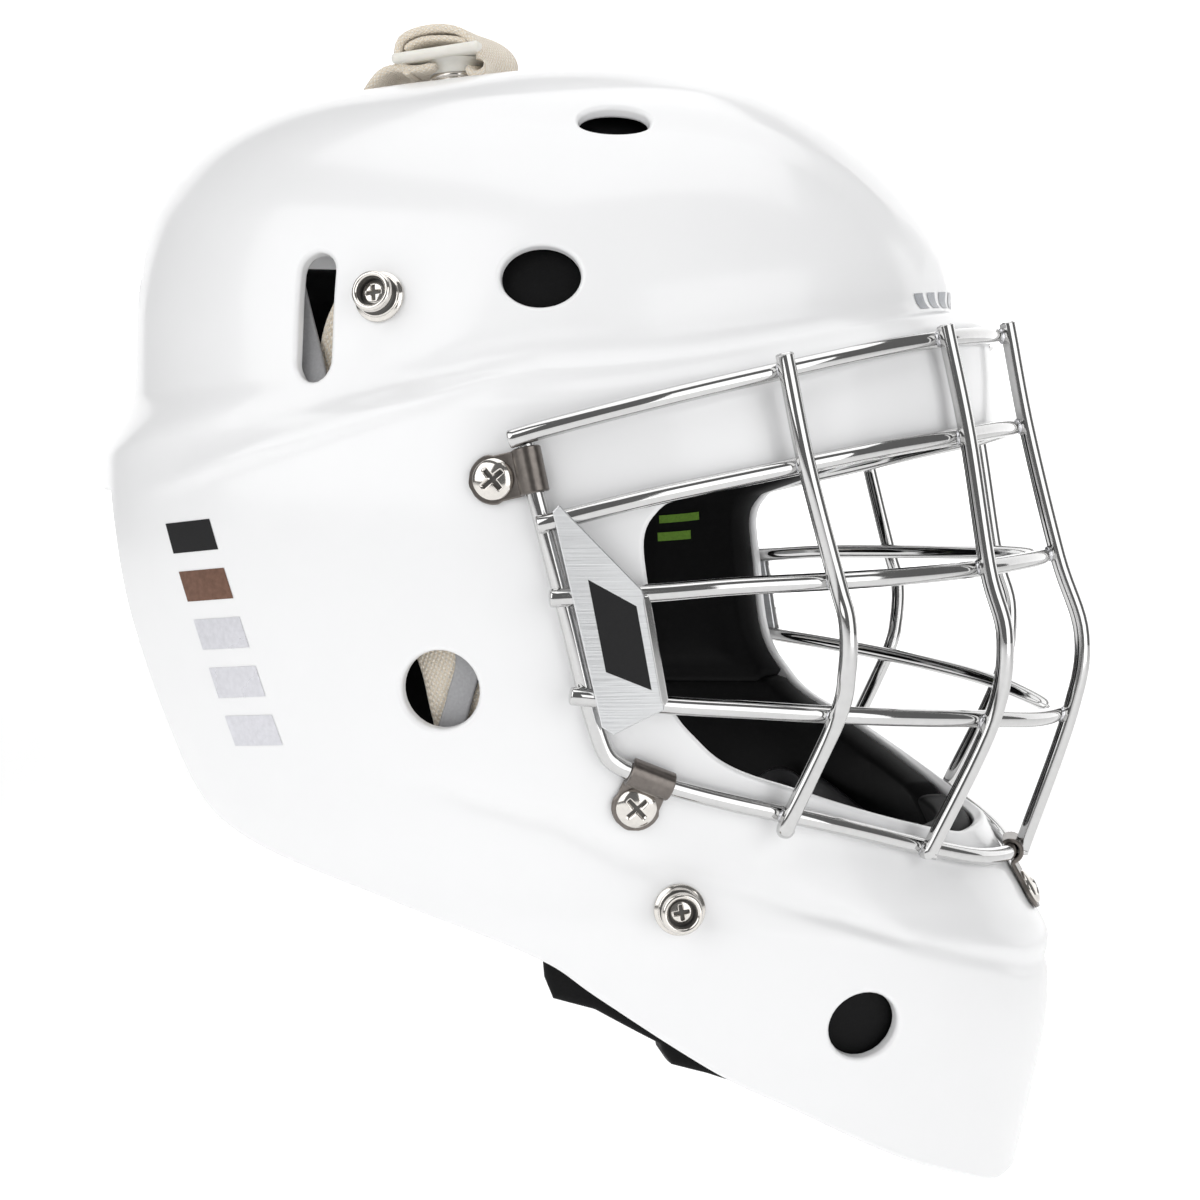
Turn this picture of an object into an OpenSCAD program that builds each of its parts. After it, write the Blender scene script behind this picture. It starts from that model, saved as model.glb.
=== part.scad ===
// Ice hockey goalkeeper's mask: a moulded shell, a welded wire cage held by clips,
// snap studs for the harness, a swinging back plate and a chin cup, with foam inside.
// +X points out of the face, +Y to the wearer's left, +Z up. Millimetres.

/* [Shell] */
// Wall thickness of the moulded shell
wall = 4; // [3.5:0.5:4.5]
// Radius of the small side vents
vent_r = 9.8; // [8:0.2:10.4]
// Half width of the opening at the back
back_half = 52; // [50:1:54]

/* [Cage] */
// Diameter of the cage wire
wire_d = 4.4; // [4.2:0.1:4.6]
// Bite of each weld, where one wire sinks into the next
weld = 0.4; // [0.3:0.1:0.6]

/* [Hardware] */
// Width of the clip straps
clip_w = 11; // [10:0.5:12]
// Thickness of the clip metal
clip_t = 1.2; // [1:0.1:1.4]
// Outside radius of a snap stud's head
stud_r = 5; // [4.6:0.1:5.2]

/* [Padding] */
// Thickness of the inner foam
foam = 11; // [8:1:12]
// Gap between the shell's inner face and the foam
foam_gap = 0.4; // [0.3:0.1:0.8]

/* [Hidden] */
$fn = 48;
wire_r = wire_d / 2;
wire_sides = 8;
lead = wire_d - weld;
rings = 34;
spokes = 56;

// Stations down the shell, from the crown to the chin. Each row holds: station number,
// front x, front z, side x, half width, side z, back x, back z, front and back roundness.
// The row before the crown mirrors the one after it, so that the crown stays round.
STATIONS = [
    [-1, -48, 147, -15, -36, 143, 18, 147, 2, 2],
    [0, -15, 148, -15, 0, 148, -15, 148, 2, 2],
    [1, 18, 147, -15, 36, 143, -48, 147, 2, 2],
    [2, 46, 140, -15, 58, 133, -86, 142, 2, 2.1],
    [3, 68, 128, -16, 75, 117, -113, 129, 2, 2.2],
    [4, 84, 113, -17, 86, 100, -129, 108, 2, 2.2],
    [5, 95, 97, -18, 92, 80, -134, 84, 2, 2.2],
    [6, 100, 81, -18, 95, 62, -135, 56, 2, 2.2],
    [6.5, 108, 77, -18, 100, 52, -144, 36, 2, 2.2],
    [7.5, 111, 50, -16, 102, 25, -143, 8, 2.1, 2.2],
    [8.5, 111, 0, -14, 101, -15, -134, -22, 2, 2.2],
    [9.5, 108, -50, -12, 97, -50, -122, -48, 1.9, 2.2],
    [10, 122, -80, -10, 94, -65, -116, -58, 1.85, 2.2],
    [10.4, 128, -92, -10, 93, -72, -113, -64, 1.88, 2.2],
    [11, 128, -108, -10, 91, -80, -111, -70, 1.9, 2.2],
    [12, 119, -160, -10, 85, -118, -104, -96, 1.9, 2.2]
];
last_row = len(STATIONS) - 1;

// Slope of a monotone curve between two chords
function blend_slope(a, b, h1, h2) =
    a * b <= 0 ? 0 : 3 * (h1 + h2) / ((2 * h2 + h1) / a + (h2 + 2 * h1) / b);
function chord(i, c) =
    (STATIONS[i + 1][c] - STATIONS[i][c]) / (STATIONS[i + 1][0] - STATIONS[i][0]);
function gap(i) = STATIONS[i + 1][0] - STATIONS[i][0];
function slope(i, c) =
    i <= 0 ? chord(0, c)
    : i >= last_row ? chord(last_row - 1, c)
    : blend_slope(chord(i - 1, c), chord(i, c), gap(i - 1), gap(i));
function row_below(t, i = 0) = i >= last_row - 1 || STATIONS[i + 1][0] > t ? i : row_below(t, i + 1);
function station(t) =
    let (i = row_below(t), h = gap(i), s = (t - STATIONS[i][0]) / h)
    [for (c = [0:9])
        STATIONS[i][c] * (1 + 2 * s) * pow(1 - s, 2) + slope(i, c) * h * s * pow(1 - s, 2)
        + STATIONS[i + 1][c] * s * s * (3 - 2 * s) + slope(i + 1, c) * h * s * s * (s - 1)];

// Point on the outer surface for one station row and an angle, 0 at the face
function row_point(k, a) =
    let (c = cos(a), s = sin(a), front = c >= 0,
        reach = max(front ? k[1] - k[3] : k[3] - k[6], 0.001),
        n = front ? k[8] : k[9],
        r = pow(pow(abs(c) / reach, n) + pow(abs(s) / max(k[4], 0.001), n), -1 / n))
    [k[3] + r * c, r * s, k[5] + ((front ? k[2] : k[7]) - k[5]) * pow(r * c / reach, 2)];
function unit(v) = v / norm(v);
function skin(t, a) = row_point(station(t), a);
function row_normal(before, after, k, a) =
    unit(cross(row_point(after, a) - row_point(before, a), row_point(k, a + 2) - row_point(k, a - 2)));
function skin_normal(t, a, dt = 0.05) = row_normal(station(t - dt), station(t + dt), station(t), a);

// One ring of points at a depth below the outer surface
function skin_ring(t, angles, depth, dt) =
    let (k = station(t), before = station(t - dt), after = station(t + dt))
    [for (a = angles) row_point(k, a) - depth * row_normal(before, after, k, a)];

// Faces of a closed grid with n columns that wraps round, from ring i to ring i + 1
function wrap_faces(n, m, start, flip) = [
    for (i = [0:m - 2]) for (j = [0:n - 1])
        let (a = start + i * n + j, b = start + i * n + (j + 1) % n, c = b + n, d = a + n)
        each flip ? [[a, c, b], [a, d, c]] : [[a, b, c], [a, c, d]]
];

// The shell's full wall, before its openings are cut
module shell_wall() {
    angles = [for (j = [0:spokes - 1]) j * 360 / spokes];
    levels = [for (i = [0:rings - 1]) 0.25 + 11.75 * i / (rings - 1)];
    outer = [for (t = levels) each skin_ring(t, angles, 0, 0.2)];
    inner = [for (t = levels) each skin_ring(t, angles, wall, 0.2)];
    n = spokes;
    size = rings * n;
    caps = [
        [for (j = [n - 1:-1:0]) j],
        [for (j = [0:n - 1]) size + j]
    ];
    rim = [for (j = [0:n - 1])
        let (a = size - n + j, b = size - n + (j + 1) % n)
        each [[a, b, b + size], [a, b + size, a + size]]];
    polyhedron(
        concat(outer, inner),
        concat(caps, wrap_faces(n, rings, 0, false), wrap_faces(n, rings, size, true), rim),
        convexity = 8
    );
}

// Outline in side view, grown by a radius that rounds its corners
module rounded_outline(points, r) {
    polygon(points);
    for (i = [0:len(points) - 1]) hull() {
        translate(points[i]) circle(r, $fn = 24);
        translate(points[(i + 1) % len(points)]) circle(r, $fn = 24);
    }
}
// Prism along Y of an outline drawn in X and Z
module side_prism(half) {
    rotate([90, 0, 0]) linear_extrude(2 * half, center = true) children();
}

// Eye opening in side view, drawn inside its rounded corners
EYE = [
    [40, 25.5], [37.5, 21], [38.7, 9], [42, -14], [49, -25], [56, -31], [69, -36.6],
    [83, -43], [97, -49], [107, -53.3], [160, -56], [160, 46], [103, 42.5], [68, 34.5]
];
eye_round = 5;
module eye_prism(grow = 0) {
    side_prism(150) rounded_outline(EYE, eye_round + grow);
}
// Side view of what the shell keeps: the lower edge rises from the chin to the back
EDGE = [
    [-200, 170], [-200, -5], [-114, -5], [-104, -30], [-95, -48], [-79, -58], [-35, -69], [3, -82],
    [19, -92.5], [48, -113], [67, -124], [90, -139], [105, -148], [120, -158], [160, -158],
    [160, 170]
];
module keep_prism() {
    side_prism(150) polygon(EDGE);
}
// Side view of the jaw foam, which shows below the edge near the ear
JAW_EDGE = [
    [10, 20], [15, -94], [19, -97], [36, -106], [37, -111], [48, -114], [67, -121],
    [90, -136], [112, -150], [112, 20]
];
module jaw_prism() {
    side_prism(150) polygon(JAW_EDGE);
}
// Opening at the back, seen along X, with round upper corners
module back_opening() {
    top = 108;
    corner = 26;
    translate([-240, 0, 0]) rotate([90, 0, 90]) linear_extrude(170)
        hull() {
            for (s = [-1, 1]) translate([s * (back_half - corner), top - corner]) circle(corner);
            translate([-back_half, -180]) square([2 * back_half, 10]);
        }
}

// Places children at a point on the skin, with their Z along its outward normal
module on_skin(t, a, depth = 0) {
    n = skin_normal(t, a);
    translate(skin(t, a) - depth * n) rotate([0, acos(n[2]), atan2(n[1], n[0])]) children();
}
module both_sides() {
    children();
    mirror([0, 1, 0]) children();
}
module vent(t, a, rx, ry) {
    on_skin(t, a) scale([ry / rx, 1, 1]) cylinder(r = rx, h = 40, center = true, $fn = 32);
}

upper_stud = [5.01, -100];
lower_stud = [10.09, -60];
crown_stud = [0.85, 180];
upper_clip = [7.16, -82];
lower_clip = [9.3, -65.2];
chin_clip = [9.97, 0];
screw_r = 2;
slot_half = 11;

module strap_slot() {
    side_prism(150) hull() for (s = [-1, 1])
        translate([-52, 76 + s * slot_half]) circle(4.9, $fn = 24);
}
// Slot in the crown, behind its stud, for the crown strap
module crown_slot() {
    translate([-66, 0, 100]) linear_extrude(80) hull() for (s = [-1, 1])
        translate([0, s * 10]) circle(4, $fn = 24);
}
module screw_hole(where) {
    on_skin(where[0], where[1]) cylinder(r = screw_r + 0.15, h = 30, center = true, $fn = 24);
}

module shell() {
    color("white") difference() {
        intersection() {
            shell_wall();
            keep_prism();
        }
        eye_prism();
        back_opening();
        crown_slot();
        strap_slot();
        both_sides() {
            vent(4.8, -75.2, vent_r, 7.8);
            vent(2.63, -61.8, 9, 4.6);
            vent(8.5, -91.5, vent_r, 9.6);
            vent(11.26, -34.5, 9.4, 8.8);
            for (p = [upper_stud, lower_stud, upper_clip, lower_clip]) screw_hole(p);
        }
        screw_hole(crown_stud);
        screw_hole(chin_clip);
    }
}

// Smooth path through hand-chosen points
function between(p0, p1, p2, p3, s) =
    0.5 * (2 * p1 + (p2 - p0) * s + (2 * p0 - 5 * p1 + 4 * p2 - p3) * s * s
        + (3 * p1 - p0 - 3 * p2 + p3) * s * s * s);
function smooth_path(p, steps) =
    let (n = len(p))
    concat([for (i = [0:n - 2]) for (k = [0:steps - 1])
        between(i == 0 ? 2 * p[0] - p[1] : p[i - 1], p[i], p[i + 1],
            i == n - 2 ? 2 * p[n - 1] - p[n - 2] : p[i + 2], k / steps)], [p[n - 1]]);
// Half of a path on the right side, carried over to the left side
function mirror_path(p) =
    concat(p, [for (i = [len(p) - 2:-1:0]) [p[i][0], -p[i][1], p[i][2]]]);
function direction(p, i) = unit(p[min(i + 1, len(p) - 1)] - p[max(i - 1, 0)]);
// Solid swept along a path; its section is listed as [across, away from the hub]
module sweep(path, section, hub = [0, 0, 0]) {
    n = len(section);
    m = len(path);
    points = [for (i = [0:m - 1])
        let (d = direction(path, i), out = path[i] - hub,
            v = unit(out - (out * d) * d), u = cross(d, v))
        each [for (q = section) path[i] + q[0] * u + q[1] * v]];
    polyhedron(points, concat(
        wrap_faces(n, m, 0, false),
        [[for (j = [n - 1:-1:0]) j], [for (j = [0:n - 1]) (m - 1) * n + j]]
    ), convexity = 6);
}
module wire(path, steps = 4) {
    sweep(smooth_path(path, steps),
        [for (j = [0:wire_sides - 1]) wire_r * [cos(j * 45 + 22.5), sin(j * 45 + 22.5)]],
        [20, 0, 0]);
}

// Half paths of the wires, from the right side to the middle
BROW = [[2, -105.5, 45], [14, -103, 48.5], [40, -94.5, 55.5], [63, -82, 61.5], [83, -64, 67],
    [98, -44, 70.8], [108, -22, 73], [111, 0, 74]];
UPPER = [[9, -106, 25], [34, -98.5, 31.5], [68, -82.5, 39], [87, -66, 43.2],
    [102.5, -45, 46.2], [112.5, -22, 48.4], [116, 0, 49]];
MIDDLE = [[12, -106, 8], [34, -97.8, 9], [54, -91, 10.5], [75, -80, 11.3],
    [93, -65, 12], [108, -45, 12.8], [120, -22, 13.8], [124.8, 0, 14.2]];
LOWER = [[16.5, -104.4, -15], [37, -96.4, -17.5], [56, -87.5, -19.3], [75, -77, -21.3],
    [93, -63, -23.3], [109.8, -45, -25.4], [123.5, -22, -28], [128.8, 0, -28.8]];
// Route of the edge wire over the skin, as [station, angle]
EDGE_ROUTE = [[6.72, -77.5], [7.15, -76.9], [7.6, -75.5], [8.12, -73.1], [8.51, -71.4],
    [8.75, -70.2], [8.92, -69], [9, -67.4], [9.06, -65], [9.16, -60.5], [9.3, -52],
    [9.45, -41], [9.57, -32.2], [9.68, -22.5], [9.76, -12], [9.79, 0]];
edge_lift = wire_r + 0.4;
EDGE_WIRE = [for (p = EDGE_ROUTE) skin(p[0], p[1]) + edge_lift * skin_normal(p[0], p[1])];

// Point of a half path where it reaches a given Y, pushed outward to carry a post
function crossing(p, y, i = 0) =
    p[i + 1][1] >= y || i >= len(p) - 2
    ? let (s = (y - p[i][1]) / (p[i + 1][1] - p[i][1]), along = p[i + 1] - p[i],
        out = unit([-along[1] * sign(y - 0.001), 0, 0] + [0, along[0] * sign(y - 0.001), 0]))
        p[i] + s * along + lead * [abs(out[0]), -abs(out[1]), 0]
    : crossing(p, y, i + 1);
// Point of a post where it crosses the edge wire
function foot(t, a, along = [0, 0, 0]) =
    skin(t, a) + (edge_lift + lead) * skin_normal(t, a) + along;
OUTER_POST = [
    crossing(BROW, -82) + [-0.8, 0, 4], crossing(BROW, -82), crossing(UPPER, -82.5),
    crossing(MIDDLE, -80), [79.5, -84.2, 1.5], [79.4, -83.4, -10], crossing(LOWER, -77),
    foot(9.393, -45.2), foot(9.393, -45.2, [-1.2, 1.2, -3.4])
];
INNER_POST = [
    crossing(BROW, -45) + [-0.8, 0, 3.6], crossing(BROW, -45), crossing(UPPER, -45),
    crossing(MIDDLE, -45), [115.6, -48.5, -4.5], crossing(LOWER, -45),
    foot(9.667, -23.8), foot(9.667, -23.8, [-0.4, 0.3, -2])
];
CENTRE_POST = [
    [BROW[7][0] + lead - 0.8, 0, 78], [BROW[7][0] + lead, 0, 74], [UPPER[6][0] + lead, 0, 49],
    [MIDDLE[7][0] + lead, 0, 14.2], [135.6, 0, -7.5], [LOWER[7][0] + lead, 0, -28.8],
    foot(9.79, 0), foot(9.79, 0, [-0.6, 0, -2])
];

module cage_edge_wire() { color("silver") wire(mirror_path(EDGE_WIRE), 3); }
module cage_bar_brow() { color("silver") wire(mirror_path(BROW)); }
module cage_bar_upper() { color("silver") wire(mirror_path(UPPER)); }
module cage_bar_middle() { color("silver") wire(mirror_path(MIDDLE)); }
module cage_bar_lower() { color("silver") wire(mirror_path(LOWER)); }
module cage_post_centre() { color("silver") wire(CENTRE_POST, 3); }
module cage_post_inner_right() { color("silver") wire(INNER_POST, 3); }
module cage_post_inner_left() { mirror([0, 1, 0]) cage_post_inner_right(); }
module cage_post_outer_right() { color("silver") wire(OUTER_POST, 3); }
module cage_post_outer_left() { mirror([0, 1, 0]) cage_post_outer_right(); }

// Side plate in its own plane: along the bars, and up
PLATE = [[0, 28.3], [1.5, 29.9], [20.9, 10], [22.1, 7], [26.2, -16], [26.2, -18.3],
    [14.4, -24], [11.5, -22.3]];
plate_start = [13, -107, 0];
plate_turn = 18.7;
plate_t = 1.4;
module cage_plate_right() {
    color("gainsboro") translate(plate_start) rotate([90, 0, plate_turn])
        linear_extrude(plate_t) polygon(PLATE);
}
module cage_plate_left() { mirror([0, 1, 0]) cage_plate_right(); }

// Clip: a lug under its screw and a strap that hooks over the wire, along local +Y
lug_r = 6;
clip_lift = 0.3;
hook_r = wire_r + 0.15;
head_r = 4.9;
module clip(where, turn, reach, wire_z) {
    color("gray") on_skin(where[0], where[1]) rotate([0, 0, turn]) difference() {
        union() {
            translate([0, 0, clip_lift]) cylinder(r = lug_r, h = clip_t);
            translate([-clip_w / 2, 0, clip_lift])
                cube([clip_w, reach - hook_r, clip_t]);
            translate([0, reach, wire_z]) rotate([90, 0, 90])
                linear_extrude(clip_w, center = true) {
                difference() {
                    circle(hook_r + clip_t);
                    circle(hook_r);
                    translate([-10, -20.8]) square([20, 20]);
                }
                translate([-hook_r - clip_t, clip_lift - wire_z])
                    square([clip_t, wire_z - clip_lift]);
            }
        }
        cylinder(r = screw_r + 0.15, h = 10, center = true);
        translate([0, 0, clip_lift + clip_t]) cylinder(r = head_r + 0.1, h = 6);
    }
}
module clip_upper_right() { clip(upper_clip, 12.6, 9.3, 2.3); }
module clip_upper_left() { mirror([0, 1, 0]) clip_upper_right(); }
module clip_lower_right() { clip(lower_clip, 67.4, 8.1, 2.55); }
module clip_lower_left() { mirror([0, 1, 0]) clip_lower_right(); }
module clip_chin() { clip(chin_clip, 90, 11.9, 2.05); }

// Dome-headed screw with a cross recess
module screw(head_r, head_h, seat, length) {
    difference() {
        union() {
            rotate_extrude() polygon([[0, seat], [head_r, seat], [head_r, seat + 0.6],
                [head_r * 0.86, seat + head_h * 0.66], [head_r * 0.5, seat + head_h * 0.95],
                [0, seat + head_h]]);
            translate([0, 0, seat - length]) cylinder(r = screw_r, h = length + 0.2);
        }
        for (q = [0, 90]) rotate([0, 0, q + 45])
            translate([-head_r * 0.5, -0.55, seat + head_h - 1.3]) cube([head_r, 1.1, 3]);
    }
}
screw_length = wall + 4;
module clip_screws() {
    color("lightgray") {
        both_sides() for (p = [upper_clip, lower_clip])
            on_skin(p[0], p[1]) screw(head_r, 2.6, clip_lift + clip_t, screw_length);
        on_skin(chin_clip[0], chin_clip[1]) screw(head_r, 2.6, clip_lift + clip_t, screw_length);
    }
}

// Snap stud: a stepped base ring and a rolled head, hollow for its screw
stud_h = 6.4;
module snap_stud(where) {
    color("silver") on_skin(where[0], where[1]) rotate_extrude() polygon([
        [screw_r + 0.05, 0.1], [6.2, 0.1], [6.2, 1], [5.4, 1.6], [4.6, 1.8], [stud_r - 1, 2.6],
        [stud_r - 0.9, 3.6], [stud_r, 4], [stud_r, 6], [stud_r - 0.4, stud_h],
        [stud_r - 1.4, stud_h], [3.2, 5], [3.2, 3], [screw_r + 0.05, 3]]);
}
module snap_stud_top() { snap_stud(crown_stud); }
module snap_stud_upper_right() { snap_stud(upper_stud); }
module snap_stud_upper_left() { mirror([0, 1, 0]) snap_stud_upper_right(); }
module snap_stud_lower_right() { snap_stud(lower_stud); }
module snap_stud_lower_left() { mirror([0, 1, 0]) snap_stud_lower_right(); }
module stud_screws() {
    color("lightgray") {
        both_sides() for (p = [upper_stud, lower_stud])
            on_skin(p[0], p[1]) screw(3, 1.6, 3, screw_length + 3);
        on_skin(crown_stud[0], crown_stud[1]) screw(3, 1.6, 3, screw_length + 3);
    }
}
// Backing nuts on the inner face of the shell
nut_h = 2.4;
nut_r = 5;
module nut(where) {
    on_skin(where[0], where[1]) translate([0, 0, -wall - 0.4 - nut_h]) difference() {
        cylinder(r = nut_r, h = nut_h);
        translate([0, 0, -1]) cylinder(r = screw_r + 0.02, h = nut_h + 2);
    }
}
module fastener_nuts() {
    color("gray") {
        both_sides() for (p = [upper_stud, lower_stud, upper_clip, lower_clip]) nut(p);
        nut(crown_stud);
        nut(chin_clip);
    }
}

// Point below the skin for the padding: inward at the sides, downward at the crown
function pad_point(k, t, a, depth) =
    row_point(k, a) - depth * unit([cos(a), sin(a), max(0, (5 - t) / 1.6)]);
// Foam block between two depths, over a range of stations and angles
module pad(t0, t1, a0, a1, near, far, nt = 8, na = 10) {
    m = nt + 1;
    n = na + 1;
    levels = [for (i = [0:nt]) t0 + (t1 - t0) * i / nt];
    grids = [for (depth = [near, far]) for (t = levels)
        let (k = station(t))
        each [for (j = [0:na]) pad_point(k, t, a0 + (a1 - a0) * j / na, depth)]];
    size = m * n;
    sheet = [for (i = [0:nt - 1]) for (j = [0:na - 1]) [i * n + j, (i + 1) * n + j,
        (i + 1) * n + j + 1, i * n + j + 1]];
    loop = concat([for (j = [0:na - 1]) j], [for (i = [0:nt - 1]) i * n + na],
        [for (j = [na:-1:1]) nt * n + j], [for (i = [nt:-1:1]) i * n]);
    polyhedron(grids, concat(
        [for (f = sheet) each [[f[0], f[3], f[2]], [f[0], f[2], f[1]]]],
        [for (f = sheet) each [[f[0], f[2], f[3]] + size * [1, 1, 1],
            [f[0], f[1], f[2]] + size * [1, 1, 1]]],
        [for (i = [0:len(loop) - 1])
            let (p = loop[i], q = loop[(i + 1) % len(loop)])
            each [[q, p, p + size], [q, p + size, q + size]]]
    ), convexity = 6);
}
near = wall + foam_gap + 0.6;
far = near + foam;
// Pockets that keep the foam clear of the nuts and of the chin cup's rivets
module pockets() {
    for (p = [upper_stud, lower_stud, upper_clip, lower_clip])
        on_skin(p[0], p[1]) translate([0, 0, -far]) cylinder(r = nut_r + 1, h = far, $fn = 16);
    translate([cup_x, 0, cup_z]) rotate([90, 0, 0])
        union() {
            cylinder(r = ear_r + 4.5, h = 3 * ear_y, center = true, $fn = 16);
            cylinder(r = ear_r + 11, h = 2 * ear_y + 4.5, center = true, $fn = 24);
        }
}
module side_pad(t0, t1, a0, a1, lift = 0) {
    difference() {
        pad(t0, t1, a0, a1, near + lift, far);
        eye_prism(1.5);
        pockets();
    }
}
module forehead_pad() { color("black") pad(3.9, 5.9, -84, 84, near, far, 6, 18); }
module crown_pad() { color("black") pad(1.2, 3.3, -70, 70, near, far, 6, 16); }
module temple_pad_right() { color("black") side_pad(6.95, 8.98, -86, -40); }
module temple_pad_left() { mirror([0, 1, 0]) temple_pad_right(); }
module jaw_pad_right() {
    color("black") intersection() {
        side_pad(9.02, 11.98, -74, -16, 0.7);
        jaw_prism();
    }
}
module rear_pad_right() { color("black") side_pad(6.95, 9.2, -132, -111); }
module rear_pad_left() { mirror([0, 1, 0]) rear_pad_right(); }
// Thin liner between the ears and the straps
liner_near = far + 1;
liner_t = 4;
module side_liner_right() {
    color("black") pad(5.1, 9.2, -130, -88, liner_near, liner_near + liner_t, 10, 6);
}
module side_liner_left() { mirror([0, 1, 0]) side_liner_right(); }
module brow_pad() { color("black") pad(6.95, 7.42, -38, 38, near, far, 3, 12); }
module chin_pad() { color("black") difference() {
        pad(9.6, 10.9, -15, 15, near, far, 5, 6);
        eye_prism(1.5);
        on_skin(chin_clip[0], chin_clip[1]) translate([0, 0, -far - 4])
            cylinder(r = nut_r + 1, h = far + 4, $fn = 16);
    }
}
module jaw_pad_left() { mirror([0, 1, 0]) jaw_pad_right(); }

// Back plate and its foam, hung at the top edge of the opening
plate_top = 4.62;
module back_plate() { color("white") pad(plate_top, 9.35, 156, 204, 1, 4, 16, 10); }
module back_plate_foam() { color("black") pad(4.95, 9.1, 159, 201, 4.4, 12, 14, 6); }

// Chin cup: a sling round the chin between two ears on rivets
cup_x = 45;
cup_z = -66;
ear_y = 60;
ear_r = 9;
ear_t = 3;
rivet_r = 2.5;
CUP_PATH = [[51, -59.3, -68.5], [60, -53.5, -73], [74, -37, -80], [82, -18, -84], [84, 0, -85]];
module chin_cup() {
    color("black") {
        sweep(smooth_path(mirror_path(CUP_PATH), 3),
            [[-12, -1.5], [12, -1.5], [12, 1.5], [-12, 1.5]], [45, 0, -72]);
        both_sides() difference() {
            translate([cup_x, -ear_y, cup_z]) rotate([90, 0, 0])
                cylinder(r = ear_r, h = ear_t, center = true);
            translate([cup_x, -ear_y, cup_z]) rotate([90, 0, 0])
                cylinder(r = rivet_r + 0.3, h = 3 * ear_t, center = true);
        }
    }
}
module chin_cup_rivets() {
    color("silver") both_sides() translate([cup_x, -ear_y, cup_z]) rotate([90, 0, 0]) {
        translate([0, 0, -ear_t / 2 - 0.4]) cylinder(r = rivet_r, h = 22);
        translate([0, 0, -ear_t / 2 - 1.8]) cylinder(r = 5, h = 1.5);
    }
}

// Webbing straps
web_w = 20;
web_t = 2.4;
WEB = [[-web_w / 2, -web_t / 2], [web_w / 2, -web_t / 2], [web_w / 2, web_t / 2],
    [-web_w / 2, web_t / 2]];
CROWN_ROUTE = [[-126, 0, 98.5], [-122.5, 0, 106], [-116, 0, 114.5], [-107, 0, 122],
    [-96, 0, 127.8], [-84, 0, 132.4], [-74, 0, 136], [-68.5, 0, 140.5], [-66, 0, 151]];
LOOP_ROUTE = [[-65.7, 0, 151.5], [-64.8, 0, 156], [-60, 0, 161.5], [-48, 0, 163.8],
    [-37, 0, 163], [-29, 0, 160], [-26.5, 0, 155.5], [-29.5, 0, 152.3]];
module crown_strap() {
    color("wheat") {
        sweep(smooth_path(CROWN_ROUTE, 3), WEB, [-60, 0, 60]);
    }
}
module crown_strap_loop() {
    color("wheat") sweep(smooth_path(LOOP_ROUTE, 3), WEB, [-45, 0, 154]);
}
module strap_slider() {
    color("ivory") {
        on_skin(crown_stud[0], crown_stud[1]) {
            rotate_extrude() polygon([[5.25, 3.4], [6.6, 3.4], [6.6, 8], [0, 8], [0, 6.8],
                [5.25, 6.8]]);
            translate([-9, -12, 7.4]) cube([27, 24, 2.8]);
        }
    }
}
SIDE_ROUTE = [[5.3, -112, 8], [6, -109, 8], [6.7, -106, 12], [7.6, -99, 9], [8.6, -95, 8],
    [9.4, -93, 8]];
module side_strap_right() {
    route = [for (p = SIDE_ROUTE) pad_point(station(p[0]), p[0], p[1], p[2])];
    color("wheat") sweep(smooth_path(route, 3), WEB, [-16, 0, 20]);
}
module side_strap_left() { mirror([0, 1, 0]) side_strap_right(); }

shell();
cage_edge_wire();
cage_bar_brow();
cage_bar_upper();
cage_bar_middle();
cage_bar_lower();
cage_post_centre();
cage_post_inner_right();
cage_post_inner_left();
cage_post_outer_right();
cage_post_outer_left();
cage_plate_right();
cage_plate_left();
clip_upper_right();
clip_upper_left();
clip_lower_right();
clip_lower_left();
clip_chin();
clip_screws();
snap_stud_top();
snap_stud_upper_right();
snap_stud_upper_left();
snap_stud_lower_right();
snap_stud_lower_left();
stud_screws();
fastener_nuts();
forehead_pad();
brow_pad();
crown_pad();
temple_pad_right();
temple_pad_left();
rear_pad_right();
rear_pad_left();
side_liner_right();
side_liner_left();
jaw_pad_right();
jaw_pad_left();
chin_pad();
back_plate();
back_plate_foam();
chin_cup();
chin_cup_rivets();
crown_strap();
crown_strap_loop();
strap_slider();
side_strap_right();
side_strap_left();
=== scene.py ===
"""Looks of an ice hockey goalkeeper's mask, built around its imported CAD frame."""
import math

import bpy
import numpy as np
from mathutils import Matrix, Vector


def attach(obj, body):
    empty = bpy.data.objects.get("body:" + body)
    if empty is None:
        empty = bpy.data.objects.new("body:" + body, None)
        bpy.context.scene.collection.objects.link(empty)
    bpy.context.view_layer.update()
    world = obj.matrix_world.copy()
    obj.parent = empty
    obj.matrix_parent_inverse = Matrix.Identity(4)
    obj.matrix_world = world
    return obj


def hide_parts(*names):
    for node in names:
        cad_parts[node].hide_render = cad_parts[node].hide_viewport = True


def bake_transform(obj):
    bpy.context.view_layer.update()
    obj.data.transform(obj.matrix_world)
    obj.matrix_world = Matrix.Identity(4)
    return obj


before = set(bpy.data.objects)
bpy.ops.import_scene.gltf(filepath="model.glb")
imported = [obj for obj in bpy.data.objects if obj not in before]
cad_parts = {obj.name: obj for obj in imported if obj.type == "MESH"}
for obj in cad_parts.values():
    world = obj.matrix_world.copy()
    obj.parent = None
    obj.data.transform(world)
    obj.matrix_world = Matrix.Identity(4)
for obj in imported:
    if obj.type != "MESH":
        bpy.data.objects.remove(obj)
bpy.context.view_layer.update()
MM = 0.001

flip = np.array([1, -1, 1])

# ---------------------------------------------------------------- camera
VIEW_AZIMUTH = math.radians(12.84)
VIEW_ELEVATION = math.radians(4.11)
VIEW_DISTANCE = 550.0
LENS = 56.92

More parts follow.
